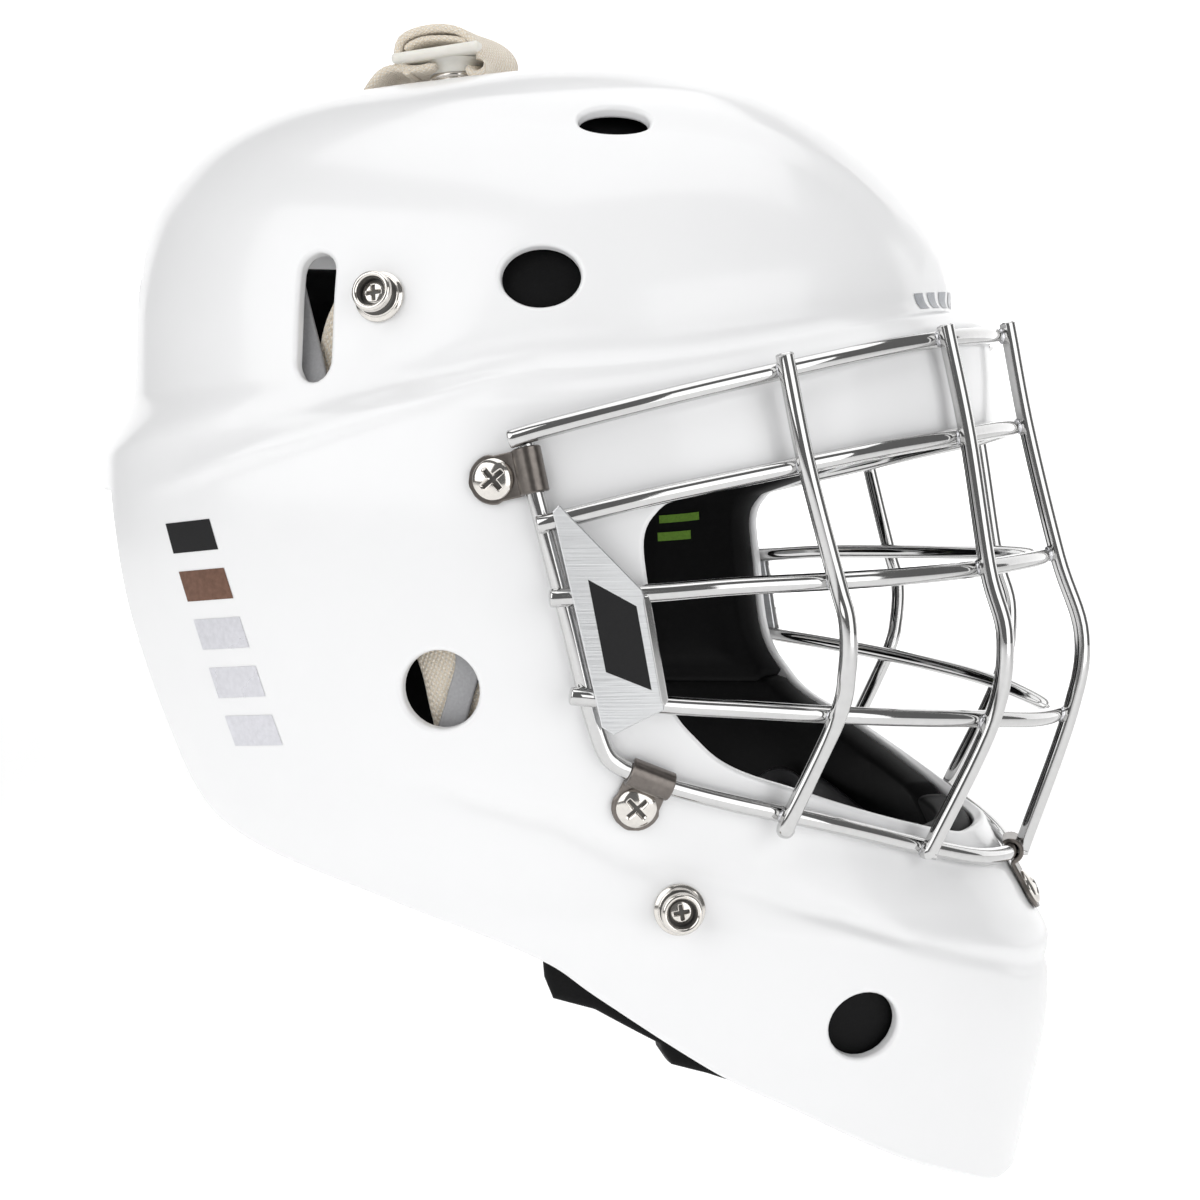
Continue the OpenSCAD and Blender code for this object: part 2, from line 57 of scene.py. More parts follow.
view_right = np.array([math.cos(VIEW_AZIMUTH), math.sin(VIEW_AZIMUTH), 0.0])
view_back = np.array([
    math.sin(VIEW_AZIMUTH) * math.cos(VIEW_ELEVATION),
    -math.cos(VIEW_AZIMUTH) * math.cos(VIEW_ELEVATION),
    math.sin(VIEW_ELEVATION),
])
view_up = np.cross(view_back, view_right)


def make_camera():
    data = bpy.data.cameras.new("camera")
    data.lens = LENS
    data.sensor_width = 36.0
    data.clip_start = 0.01
    camera = bpy.data.objects.new("camera", data)
    bpy.context.scene.collection.objects.link(camera)
    rows = np.eye(4)
    rows[:3, 0], rows[:3, 1], rows[:3, 2] = view_right, view_up, view_back
    rows[:3, 3] = view_back * VIEW_DISTANCE * MM
    camera.matrix_world = Matrix(rows.tolist())
    bpy.context.scene.camera = camera


# ---------------------------------------------------------------- small mesh helpers
def catmull(points, steps, closed=False):
    """A smooth curve through the points."""
    p = np.asarray(points, float)
    if closed:
        p = np.vstack([p[-1:], p, p[:2]])
    else:
        p = np.vstack([2 * p[0] - p[1], p, 2 * p[-1] - p[-2]])
    s = np.linspace(0, 1, steps, endpoint=False)[:, None]
    out = []
    for a, b, c, d in zip(p[:-3], p[1:-2], p[2:-1], p[3:]):
        out.append(0.5 * (2 * b + (c - a) * s + (2 * a - 5 * b + 4 * c - d) * s ** 2
                          + (3 * b - a - 3 * c + d) * s ** 3))
    out = np.vstack(out)
    return out if closed else np.vstack([out, p[-2:-1]])


def unit(v):
    v = np.asarray(v, float)
    return v / np.maximum(np.linalg.norm(v, axis=-1, keepdims=True), 1e-12)


def mesh_piece(name, verts, faces, material, body="mask", slot=None, replaces=(), normals=None,
               smooth=True):
    """A mesh in millimetres becomes a piece that rides on a body."""
    mesh = bpy.data.meshes.new(name)
    mesh.from_pydata((np.asarray(verts, float) * MM).tolist(), [], [list(map(int, f)) for f in faces])
    mesh.validate()
    for polygon in mesh.polygons:
        polygon.use_smooth = smooth
    if normals is not None:
        mesh.normals_split_custom_set_from_vertices(unit(normals).tolist())
    obj = bpy.data.objects.new(name, mesh)
    bpy.context.scene.collection.objects.link(obj)
    obj.data.materials.append(material)
    if body:
        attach(obj, body)
    if replaces:
        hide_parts(*replaces)
    return obj


def transport(path):
    """Tangents and a frame carried along a path without twist."""
    p = np.asarray(path, float)
    tangent = unit(np.gradient(p, axis=0))
    normal = np.cross(tangent[0], [0.0, 0.0, 1.0])
    if np.linalg.norm(normal) < 0.1:
        normal = np.cross(tangent[0], [1.0, 0.0, 0.0])
    normals = [unit(normal)]
    for t in tangent[1:]:
        n = normals[-1] - t * np.dot(normals[-1], t)
        normals.append(unit(n))
    normals = np.array(normals)
    return tangent, normals, np.cross(tangent, normals)


def rings_to_mesh(rings):
    """Skin over a list of closed rings, with flat ends."""
    m, n = len(rings), len(rings[0])
    verts = np.vstack(rings)
    faces = [[i * n + j, i * n + (j + 1) % n, (i + 1) * n + (j + 1) % n, (i + 1) * n + j]
             for i in range(m - 1) for j in range(n)]
    faces.append(list(range(n - 1, -1, -1)))
    faces.append([(m - 1) * n + j for j in range(n)])
    return verts, faces


def tube(path, radius, sides=24, chamfer=0.5):
    """A round bar with lightly chamfered cut ends."""
    p = np.asarray(path, float)
    tangent, a, b = transport(p)
    angle = np.arange(sides) * 2 * math.pi / sides
    circle = np.cos(angle)[:, None, None] * a + np.sin(angle)[:, None, None] * b
    circle = np.swapaxes(circle, 0, 1)
    rings = [p[0] + (radius - chamfer) * circle[0]]
    rings.append(p[0] + tangent[0] * chamfer * 0.35 + (radius - chamfer * 0.3) * circle[0])
    rings.append(p[0] + tangent[0] * chamfer + radius * circle[0])
    rings += [p[i] + radius * circle[i] for i in range(1, len(p) - 1)]
    rings.append(p[-1] - tangent[-1] * chamfer + radius * circle[-1])
    rings.append(p[-1] - tangent[-1] * chamfer * 0.35 + (radius - chamfer * 0.3) * circle[-1])
    rings.append(p[-1] + (radius - chamfer) * circle[-1])
    return rings_to_mesh(rings)


def join_meshes(parts):
    """Several (verts, faces) pairs become one."""
    verts, faces, base = [], [], 0
    for v, f in parts:
        verts.append(np.asarray(v, float))
        faces += [[i + base for i in face] for face in f]
        base += len(v)
    return np.vstack(verts), faces


def mirrored(verts, faces):
    return np.array(verts, float) * flip, [list(reversed(f)) for f in faces]


# ---------------------------------------------------------------- the shell's skin
# Stations from the crown to the chin: number, front x, front z, side x, half width,
# side z, back x, back z, front and back roundness. The same rows as the CAD part's.
STATIONS = np.array([
    [-1, -48, 147, -15, -36, 143, 18, 147, 2, 2],
    [0, -15, 148, -15, 0, 148, -15, 148, 2, 2],
    [1, 18, 147, -15, 36, 143, -48, 147, 2, 2],
    [2, 46, 140, -15, 58, 133, -86, 142, 2, 2.1],
    [3, 68, 128, -16, 75, 117, -113, 129, 2, 2.2],
    [4, 84, 113, -17, 86, 100, -129, 108, 2, 2.2],
    [5, 95, 97, -18, 92, 80, -134, 84, 2, 2.2],
    [6, 100, 81, -18, 95, 62, -135, 56, 2, 2.2],
    [6.5, 108, 77, -18, 100, 52, -144, 36, 2, 2.2],
    [7.5, 111, 50, -16, 102, 25, -143, 8, 2.1, 2.2],
    [8.5, 111, 0, -14, 101, -15, -134, -22, 2, 2.2],
    [9.5, 108, -50, -12, 97, -50, -122, -48, 1.9, 2.2],
    [10, 122, -80, -10, 94, -65, -116, -58, 1.85, 2.2],
    [10.4, 128, -92, -10, 93, -72, -113, -64, 1.88, 2.2],
    [11, 128, -108, -10, 91, -80, -111, -70, 1.9, 2.2],
    [12, 119, -160, -10, 85, -118, -104, -96, 1.9, 2.2]
], float)


def station_rows(t):
    """Monotone cubic blend of the stations."""
    x, y = STATIONS[:, 0], STATIONS[:, 1:]
    h = np.diff(x)
    d = np.diff(y, axis=0) / h[:, None]
    slope = np.zeros_like(y)
    slope[0], slope[-1] = d[0], d[-1]
    w1, w2 = 2 * h[1:] + h[:-1], h[1:] + 2 * h[:-1]
    same = d[:-1] * d[1:] > 0
    safe_a = np.where(d[:-1] == 0, 1, d[:-1])
    safe_b = np.where(d[1:] == 0, 1, d[1:])
    total = w1[:, None] / safe_a + w2[:, None] / safe_b
    mean = (w1 + w2)[:, None] / np.where(same, total, 1)
    slope[1:-1] = np.where(same, mean, 0)
    i = np.clip(np.searchsorted(x, t, side="right") - 1, 0, len(x) - 2)
    s = ((t - x[i]) / h[i])[:, None]
    w = h[i][:, None]
    return (y[i] * (1 + 2 * s) * (1 - s) ** 2 + slope[i] * w * s * (1 - s) ** 2
            + y[i + 1] * s * s * (3 - 2 * s) + slope[i + 1] * w * s * s * (s - 1))


def skin(t, a):
    """Points of the outer surface for station numbers t and angles a in degrees."""
    t, a = np.broadcast_arrays(np.asarray(t, float), np.asarray(a, float))
    k = station_rows(t.ravel()).reshape(t.shape + (9,))
    xf, zf, xs, ys, zs, xr, zr, nf, nr = np.moveaxis(k, -1, 0)
    c, s = np.cos(np.radians(a)), np.sin(np.radians(a))
    front = c >= 0
    reach = np.maximum(np.where(front, xf - xs, xs - xr), 1e-3)
    n = np.where(front, nf, nr)
    r = ((np.abs(c) / reach) ** n + (np.abs(s) / np.maximum(ys, 1e-3)) ** n) ** (-1 / n)
    z = zs + (np.where(front, zf, zr) - zs) * (r * c / reach) ** 2
    return np.stack([xs + r * c, r * s, z], -1)


def skin_normal(t, a, dt=0.05, da=1.0):
    along = skin(t + dt, a) - skin(t - dt, a)
    around = skin(t, a + da) - skin(t, a - da)
    return unit(np.cross(along, around))


# Crest line round the shell, [angle, station], and the edge of the raised crown panel, [x, |y|].
CREST = np.array([[0, 6.2], [23, 6.14], [33, 6.1], [57, 6.1], [75, 6.07], [84, 6.19], [92, 6.39],
                  [100.5, 6.56], [109.5, 6.7], [119, 6.8], [130, 6.91], [141, 6.94], [180, 6.9]])
PANEL = np.array([[-60, 55], [-17, 62.8], [2.5, 64], [22.8, 59.7], [42.7, 50.9], [57, 45],
                  [72, 38], [84, 32.5], [92.6, 23.5], [99.7, 8], [104, 0]])
JAW_FOLD = np.array([[0, 10.6], [10.8, 10.55], [16.8, 10.44], [29.2, 10.29], [38.2, 10.07],
                     [54.2, 9.81], [67.2, 9.66], [76.8, 9.4], [86.8, 9.26], [97.2, 9.11]])


def smooth(x):
    x = np.clip(x, 0, 1)
    return x * x * (3 - 2 * x)


def relief(t, a, p):
    """Millimetres added along the normal: crest, crown panel and jaw fold."""
    side = np.abs((a + 180) % 360 - 180)
    s = (t - np.interp(side, CREST[:, 0], CREST[:, 1])) * 23
    fade = 1 - 0.35 * smooth((75 - side) / 25)
    fade = fade * (1 - smooth((side - 118) / 26))
    crest = (-1.3 * np.exp(-((s + 8) / 4.5) ** 2) + 0.9 * np.exp(-(s / 2.6) ** 2)) * fade
    inside = np.interp(p[..., 0], PANEL[:, 0], PANEL[:, 1]) - np.abs(p[..., 1])
    panel = 1.5 * smooth(inside / 9 + 0.5) * smooth((p[..., 0] + 45) / 40)
    panel = panel * smooth((6.1 - t) / 0.5) * (p[..., 2] > 60)
    fold = (t - np.interp(side, JAW_FOLD[:, 0], JAW_FOLD[:, 1])) * 40
    jaw = -0.9 * np.exp(-(fold / 4.5) ** 2) * smooth((102 - side) / 15)
    return crest + panel + jaw


def face_skin(t, a):
    """The outer surface with its relief."""
    t, a = np.broadcast_arrays(np.asarray(t, float), np.asarray(a, float))
    p = skin(t, a)
    return p + skin_normal(t, a) * relief(t, a, p)[..., None]


def face_normal(t, a, dt=0.02, da=0.4):
    along = face_skin(t + dt, a) - face_skin(t - dt, a)
    around = face_skin(t, a + da) - face_skin(t, a - da)
    return unit(np.cross(along, around))


def pad_direction(t, a):
    """Inward at the sides, downward at the crown."""
    t, a = np.broadcast_arrays(np.asarray(t, float), np.asarray(a, float))
    lean = np.maximum(0, (5 - t) / 1.6)
    return -unit(np.stack([np.cos(np.radians(a)), np.sin(np.radians(a)), lean], -1))


# ---------------------------------------------------------------- outlines
def outline_distance(points, outline):
    """Signed distance to a closed 2-D outline, positive inside."""
    p = np.asarray(points, float)
    q = np.asarray(outline, float)
    best = np.full(len(p), 1e9)
    inside = np.zeros(len(p), bool)
    for a, b in zip(q, np.roll(q, -1, axis=0)):
        e = b - a
        w = p - a
        s = np.clip((w @ e) / max(e @ e, 1e-12), 0, 1)
        best = np.minimum(best, np.linalg.norm(w - s[:, None] * e, axis=1))
        crosses = (a[1] > p[:, 1]) != (b[1] > p[:, 1])
        if abs(e[1]) > 1e-12:
            inside ^= crosses & (p[:, 0] < a[0] + (p[:, 1] - a[1]) * e[0] / e[1])
    return np.where(inside, best, -best)


EYE_LOWER = [[40, 25.5], [37.5, 21], [38.7, 9], [42, -14], [49, -25], [56, -31], [69, -36.6],
             [83, -43], [97, -49], [107, -53.3], [160, -56]]
EYE_UPPER = [[160, 46], [103, 42.5], [68, 34.5], [40, 25.5]]
EYE_ROUND = 5.0
EDGE_CURVE = [[-123, 32], [-118.5, 13], [-114, -5], [-104, -30], [-95, -48], [-79, -58],
              [-35, -69], [3, -82], [19, -92.5], [48, -113], [67, -124], [90, -139],
              [105, -148], [114, -154.5], [120, -156]]
EYE_OUTLINE = np.vstack([catmull(EYE_LOWER[:-1], 6), [EYE_LOWER[-1]], EYE_UPPER[:-1]])
EDGE_OUTLINE = np.vstack([[[-200, 170], [-200, 32]], catmull(EDGE_CURVE, 6),
                          [[160, -156], [160, 170]]])
BACK_HALF = 50.6
BACK_TOP = 108.0
BACK_CORNER = 26.0
VENTS = [(4.8, -75.2, 9.8, 7.8), (2.63, -61.8, 9.0, 4.6), (8.5, -91.5, 9.8, 9.6),
         (11.26, -34.5, 9.4, 8.8)]


def eye_distance(p):
    """Distance outside the eye opening."""
    return -outline_distance(p[:, [0, 2]], EYE_OUTLINE) - EYE_ROUND


def edge_distance(p):
    return outline_distance(p[:, [0, 2]], EDGE_OUTLINE)


def stadium_distance(u, v, half, radius):
    return np.hypot(u, v - np.clip(v, -half, half)) - radius


def back_distance(p):
    bottom = -400.0
    q = np.stack([np.abs(p[:, 1]) - BACK_HALF + BACK_CORNER,
                  np.abs(p[:, 2] - (BACK_TOP + bottom) / 2) - (BACK_TOP - bottom) / 2 + BACK_CORNER],
                 1)
    d = np.linalg.norm(np.maximum(q, 0), axis=1) + np.minimum(q.max(1), 0) - BACK_CORNER
    return np.where(p[:, 0] < -70, d, 1e3)


def vent_distance(p):
    best = np.full(len(p), 1e3)
    for t, a, wide, tall in VENTS:
        for side in (np.array([1, 1, 1]), flip):
            centre, n = skin(t, a) * side, skin_normal(t, a) * side
            across = unit(np.array([-n[1], n[0], 0.0]))
            down = np.cross(across, n)
            w = p - centre
            u, v = w @ down, w @ across
            k = np.sqrt((u / tall) ** 2 + (v / wide) ** 2)
            grad = np.sqrt((u / tall ** 2) ** 2 + (v / wide ** 2) ** 2)
            d = k * (k - 1) / np.maximum(grad, 1e-6)
            near = np.linalg.norm(w, axis=1) < 34
            best = np.where(near, np.minimum(best, d), best)
    return best


def slot_distance(p):
    side = stadium_distance(p[:, 0] + 52, p[:, 2] - 76, 11, 4.9)
    side = np.where(np.abs(p[:, 1]) > 40, side, 1e3)
    crown = stadium_distance(p[:, 0] + 66, p[:, 1], 10, 4)
    crown = np.where(p[:, 2] > 110, crown, 1e3)
    return np.minimum(side, crown)


# ---------------------------------------------------------------- trimmed walls
def trim_grid(ts, angles, wrap, field):
    """Cuts a grid of stations and angles where the field falls below zero."""
    nt, na = len(ts), len(angles)
    tt, aa = np.meshgrid(ts, angles, indexing="ij")
    f = field(tt.ravel(), aa.ravel()).reshape(nt, na)
    keep = f > 0
    index = np.full((nt, na), -1)
    index[keep] = np.arange(keep.sum())
    params = [np.stack([tt[keep], aa[keep]], 1)]
    count = int(keep.sum())
    step = angles[1] - angles[0]
    crossings = {}
    cols = na if wrap else na - 1
    lows, highs = [], []
    for di, dj, rows, width in ((0, 1, nt, cols), (1, 0, nt - 1, na)):
        i, j = np.meshgrid(np.arange(rows), np.arange(width), indexing="ij")
        i2, j2 = i + di, (j + dj) % na
        for a, b in zip(*np.nonzero(keep[i, j] != keep[i2, j2])):
            start = (ts[a], angles[b])
            end = (ts[a + di], angles[b] + dj * step)
            if not keep[a, b]:
                start, end = end, start
            lows.append(start)
            highs.append(end)
            crossings[(a, b, a + di, (b + dj) % na)] = count
            count += 1
    low, high = np.array(lows), np.array(highs)
    for _ in range(16):
        mid = (low + high) / 2
        good = field(mid[:, 0], mid[:, 1]) > 0
        low[good], high[~good] = mid[good], mid[~good]
    params.append(low)
    faces = []
    for i in range(nt - 1):
        for j in range(cols):
            j2 = (j + 1) % na
            corners = ((i, j), (i + 1, j), (i + 1, j2), (i, j2))
            kept = [keep[c] for c in corners]
            if not any(kept):
                continue
            if all(kept):
                faces.append([index[c] for c in corners])
                continue
            face = []
            for n in range(4):
                c, d = corners[n], corners[(n + 1) % 4]
                if keep[c]:
                    face.append(index[c])
                if keep[c] != keep[d]:
                    key = c + d if c + d in crossings else d + c
                    face.append(crossings[key])
            faces.append(face)
    return np.vstack(params), faces


def open_edges(faces):
    """Directed edges that only one face uses."""
    edges = {}
    for face in faces:
        for a, b in zip(face, face[1:] + face[:1]):
            edges[(int(a), int(b))] = True
    return [e for e in edges if (e[1], e[0]) not in edges]


def wall_mesh(faces, outer, normals, inward, thickness, away, reach, round_out, round_in,
              steps=4):
    """A wall between an outer sheet and its offset, with its cut edges rounded over."""
    count = len(outer)
    inner = outer + inward * thickness[:, None]
    verts, norms = [outer, inner], [normals, -normals]
    rim = open_edges(faces)
    ids = sorted({v for e in rim for v in e})
    place = {v: n for n, v in enumerate(ids)}
    b, d, th = away[ids], inward[ids], thickness[ids][:, None]
    n_out, base = normals[ids], outer[ids]
    columns = []
    total = 2 * count
    profile = []
    for k in range(1, steps + 1):
        phi = math.pi / 2 * k / steps
        profile.append((reach * math.sin(phi), round_out * (1 - math.cos(phi)), 0,
                        math.sin(phi), math.cos(phi)))
    for k in range(0, steps):
        phi = math.pi / 2 * k / steps
        profile.append((reach * math.cos(phi), -round_in * (1 - math.sin(phi)), 1,
                        math.cos(phi), -math.sin(phi)))
    for out, depth, from_inner, n_b, n_n in profile:
        level = depth + from_inner * th
        verts.append(base + b * out + d * level)
        norms.append(unit(b * n_b + n_out * n_n))
        columns.append(total)
        total += len(ids)
    all_faces = [list(f) for f in faces] + [[v + count for v in reversed(f)] for f in faces]
    for u, v in rim:
        pu, pv = place[u], place[v]
        low = [u] + [c + pu for c in columns] + [u + count]
        high = [v] + [c + pv for c in columns] + [v + count]
        for k in range(len(low) - 1):
            all_faces.append([high[k], low[k], low[k + 1], high[k + 1]])
    return np.vstack(verts), all_faces, np.vstack(norms)


def field_away(field, params):
    """Direction along the surface in which the field falls."""
    ht, ha = 0.01, 0.1
    t, a = params[:, 0], params[:, 1]
    ft = (field(t + ht, a) - field(t - ht, a)) / (2 * ht)
    fa = (field(t, a + ha) - field(t, a - ha)) / (2 * ha)
    pt = (skin(t + ht, a) - skin(t - ht, a)) / (2 * ht)
    pa = (skin(t, a + ha) - skin(t, a - ha)) / (2 * ha)
    e, g, h = (pt * pt).sum(1), (pt * pa).sum(1), (pa * pa).sum(1)
    det = np.maximum(e * h - g * g, 1e-9)
    up = ((h * ft - g * fa) / det)[:, None] * pt + ((e * fa - g * ft) / det)[:, None] * pa
    return -unit(up)


# ---------------------------------------------------------------- materials
def set_inputs(node, values):
    for name, value in values.items():
        node.inputs[name].default_value = value


def material(name, colour, rough, metal=0.0, coat=0.0, coat_rough=0.03, specular=0.5,
             grain=900.0, colour_change=0.03, rough_change=0.04, bump=0.0, bump_scale=None,
             stretch=(1, 1, 1), subsurface=0.0):
    """A procedural finish: grain in the colour, wear in the roughness, relief in the bump."""
    mat = bpy.data.materials.new(name)
    mat.use_nodes = True
    nodes, links = mat.node_tree.nodes, mat.node_tree.links
    shader = nodes["Principled BSDF"]
    set_inputs(shader, {"Metallic": metal, "Coat Weight": coat, "Coat Roughness": coat_rough,
                        "Specular IOR Level": specular, "Sheen Weight": 0.0,
                        "Sheen Roughness": 0.5, "Anisotropic": 0.0})
    if subsurface:
        set_inputs(shader, {"Subsurface Weight": subsurface, "Subsurface Scale": 1.0,
                            "Subsurface Radius": (0.004, 0.003, 0.002)})
    place = nodes.new("ShaderNodeTexCoord")
    mapping = nodes.new("ShaderNodeMapping")
    mapping.inputs["Scale"].default_value = stretch
    links.new(place.outputs["Object"], mapping.inputs["Vector"])
    fine = nodes.new("ShaderNodeTexNoise")
    set_inputs(fine, {"Scale": grain, "Detail": 4})
    links.new(mapping.outputs["Vector"], fine.inputs["Vector"])
    broad = nodes.new("ShaderNodeTexNoise")
    set_inputs(broad, {"Scale": 28, "Detail": 5})
    links.new(place.outputs["Object"], broad.inputs["Vector"])
    ramp = nodes.new("ShaderNodeValToRGB")
    low = [c * (1 - colour_change) for c in colour]
    ramp.color_ramp.elements[0].position = 0.3
    ramp.color_ramp.elements[1].position = 0.7
    ramp.color_ramp.elements[0].color = (*low, 1)
    ramp.color_ramp.elements[1].color = (*colour, 1)
    links.new(fine.outputs["Fac"], ramp.inputs["Fac"])
    links.new(ramp.outputs["Color"], shader.inputs["Base Color"])
    wear = nodes.new("ShaderNodeMapRange")
    set_inputs(wear, {"From Min": 0.3, "From Max": 0.7,
                      "To Min": max(rough - rough_change, 0.02), "To Max": rough + rough_change})
    links.new(broad.outputs["Fac"], wear.inputs["Value"])
    links.new(wear.outputs["Result"], shader.inputs["Roughness"])
    if bump:
        relief = nodes.new("ShaderNodeBump")
        set_inputs(relief, {"Strength": bump, "Distance": 0.0002})
        source = fine
        if bump_scale:
            source = nodes.new("ShaderNodeTexNoise")
            set_inputs(source, {"Scale": bump_scale, "Detail": 3})
            links.new(mapping.outputs["Vector"], source.inputs["Vector"])
        links.new(source.outputs["Fac"], relief.inputs["Height"])
        links.new(relief.outputs["Normal"], shader.inputs["Normal"])
    return mat


def webbing_material(name, light, dark):
    """Braided cotton: two sets of slanting ribs from the piece's own across-and-along map."""
    mat = bpy.data.materials.new(name)
    mat.use_nodes = True
    nodes, links = mat.node_tree.nodes, mat.node_tree.links
    shader = nodes["Principled BSDF"]
    set_inputs(shader, {"Roughness": 0.85, "Sheen Weight": 0.35, "Sheen Roughness": 0.5})
    uv = nodes.new("ShaderNodeUVMap")
    height = None
    for turn in (38, -38):
        mapping = nodes.new("ShaderNodeMapping")
        mapping.inputs["Rotation"].default_value = (0, 0, math.radians(turn))
        wave = nodes.new("ShaderNodeTexWave")
        set_inputs(wave, {"Scale": 0.30, "Distortion": 0.5, "Detail": 1.0, "Detail Scale": 1.5})
        links.new(uv.outputs["UV"], mapping.inputs["Vector"])
        links.new(mapping.outputs["Vector"], wave.inputs["Vector"])
        if height is None:
            height = wave.outputs["Fac"]
        else:
            both = nodes.new("ShaderNodeMath")
            both.operation = "MULTIPLY"
            links.new(height, both.inputs[0])
            links.new(wave.outputs["Fac"], both.inputs[1])
            height = both.outputs["Value"]
    fuzz = nodes.new("ShaderNodeTexNoise")
    set_inputs(fuzz, {"Scale": 4.0, "Detail": 5})
    links.new(uv.outputs["UV"], fuzz.inputs["Vector"])
    total = nodes.new("ShaderNodeMath")
    total.operation = "MULTIPLY_ADD"
    total.inputs[1].default_value = 0.5
    links.new(fuzz.outputs["Fac"], total.inputs[0])
    links.new(height, total.inputs[2])
    ramp = nodes.new("ShaderNodeValToRGB")
    ramp.color_ramp.elements[0].position = 0.2
    ramp.color_ramp.elements[1].position = 0.62
    ramp.color_ramp.elements[0].color = (*dark, 1)
    ramp.color_ramp.elements[1].color = (*light, 1)
    links.new(total.outputs["Value"], ramp.inputs["Fac"])
    links.new(ramp.outputs["Color"], shader.inputs["Base Color"])
    relief = nodes.new("ShaderNodeBump")
    set_inputs(relief, {"Strength": 0.7, "Distance": 0.0005})
    links.new(total.outputs["Value"], relief.inputs["Height"])
    links.new(relief.outputs["Normal"], shader.inputs["Normal"])
    return mat


GLOSS = material("shell_gloss_white", (0.87, 0.872, 0.878), 0.34, coat=0.55, coat_rough=0.13,
                 grain=60, colour_change=0.008, bump=0.04, bump_scale=350)
PLATE_GLOSS = material("back_plate_white", (0.85, 0.853, 0.86), 0.36, coat=0.4,
                       coat_rough=0.15, grain=60, colour_change=0.02)
CHROME = material("polished_chrome", (0.61, 0.608, 0.605), 0.07, metal=1.0, grain=500,
                  colour_change=0.05, rough_change=0.03)
WELD = material("weld_bead", (0.6, 0.6, 0.62), 0.22, metal=1.0, grain=1500, colour_change=0.15,
                bump=0.5)
BRUSHED = material("brushed_stainless", (0.76, 0.77, 0.78), 0.33, metal=1.0, grain=420,
                   colour_change=0.14, rough_change=0.05, bump=0.35, stretch=(0.12, 0.12, 6))
CLIP = material("dark_nickel", (0.20, 0.18, 0.165), 0.3, metal=1.0, grain=700,
                colour_change=0.2, bump=0.15)
NICKEL = material("polished_nickel", (0.74, 0.71, 0.67), 0.12, metal=1.0, grain=900,
                  colour_change=0.08)
ZINC = material("zinc_plate", (0.5, 0.5, 0.5), 0.35, metal=1.0, grain=900, colour_change=0.15)
FOAM = material("black_foam", (0.0045, 0.0046, 0.005), 0.6, grain=2200, colour_change=0.4,
                bump=0.3, specular=0.12)
CUP = material("black_cup", (0.02, 0.02, 0.022), 0.42, grain=1200, colour_change=0.2, bump=0.2)
SLIDER = material("off_white_plastic", (0.86, 0.84, 0.78), 0.38, grain=300, colour_change=0.06,
                  bump=0.08, subsurface=0.15)
COTTON = webbing_material("cotton_webbing", (0.95, 0.89, 0.79), (0.78, 0.67, 0.52))
# Darker colour for screw recesses, stud cups and the studs' lower groove: painted shade where these
# hollows fall into shadow.
RECESS_PAINTED_SHADE = material("screw_recess_painted_shade", (0.10, 0.095, 0.09), 0.4, metal=0.7, grain=900)
# Grey of a strip that stands in for the white inner shell wall in shadow: painted shade.
SHADED_WALL_GREY = material("painted_shade_grey_band", (0.36, 0.36, 0.37), 0.5, grain=1500, colour_change=0.15, bump=0.2)
FOIL = material("grey_foil", (0.30, 0.31, 0.33), 0.3, metal=0.8, grain=900, colour_change=0.15)
FOIL_BROWN = material("brown_foil", (0.22, 0.12, 0.085), 0.3, metal=0.7, grain=700,
                      colour_change=0.3)
FOIL_LIGHT = material("silver_foil", (0.70, 0.70, 0.74), 0.3, metal=0.4, grain=700,
                      colour_change=0.12)
INK = material("black_ink", (0.006, 0.006, 0.007), 0.45, specular=0.3, grain=1500, colour_change=0.3)
GREEN = material("green_print", (0.16, 0.33, 0.03), 0.5, grain=1500, colour_change=0.3)

# ---------------------------------------------------------------- shell
FINE = 1.0


def shell_field(t, a):
    p = skin(t, a)
    parts = [edge_distance(p), eye_distance(p), back_distance(p), vent_distance(p),
             slot_distance(p)]
    return np.min(parts, axis=0)


WALL = 4.0
RIM = 1.3
ts = np.linspace(0.03, 12.0, int(290 * FINE))
angles = np.linspace(-180, 180, int(380 * FINE), endpoint=False)
params, faces = trim_grid(ts, angles, True, lambda t, a: shell_field(t, a) - RIM)
t_, a_ = params[:, 0], params[:, 1]
outer = face_skin(t_, a_)
normals = face_normal(t_, a_)
faces.append(list(range(len(angles))))
verts, quads, norms = wall_mesh(faces, outer, normals, -normals, np.full(len(outer), WALL),
                                field_away(shell_field, params), RIM, RIM, RIM)
mesh_piece("shell_moulding", verts, quads, GLOSS, slot="shell_gloss", replaces=["shell"],
           normals=norms)

# ---------------------------------------------------------------- cage
WIRE = 2.2
LEAD = 4.0
BROW = [[2, -105.5, 45], [14, -103, 48.5], [40, -94.5, 55.5], [63, -82, 61.5], [83, -64, 67],
        [98, -44, 70.8], [108, -22, 73], [111, 0, 74]]
UPPER = [[9, -106, 25], [34, -98.5, 31.5], [68, -82.5, 39], [87, -66, 43.2],
         [102.5, -45, 46.2], [112.5, -22, 48.4], [116, 0, 49]]
MIDDLE = [[12, -106, 8], [34, -97.8, 9], [54, -91, 10.5], [75, -80, 11.3],
          [93, -65, 12], [108, -45, 12.8], [120, -22, 13.8], [124.8, 0, 14.2]]
LOWER = [[16.5, -104.4, -15], [37, -96.4, -17.5], [56, -87.5, -19.3], [75, -77, -21.3],
         [93, -63, -23.3], [109.8, -45, -25.4], [123.5, -22, -28], [128.8, 0, -28.8]]
EDGE_ROUTE = np.array([[6.72, -77.5], [7.15, -76.9], [7.6, -75.5], [8.12, -73.1],
                       [8.51, -71.4], [8.75, -70.2], [8.92, -69], [9, -67.4], [9.06, -65],
                       [9.16, -60.5], [9.3, -52], [9.45, -41], [9.57, -32.2], [9.68, -22.5],
                       [9.76, -12], [9.79, 0]])
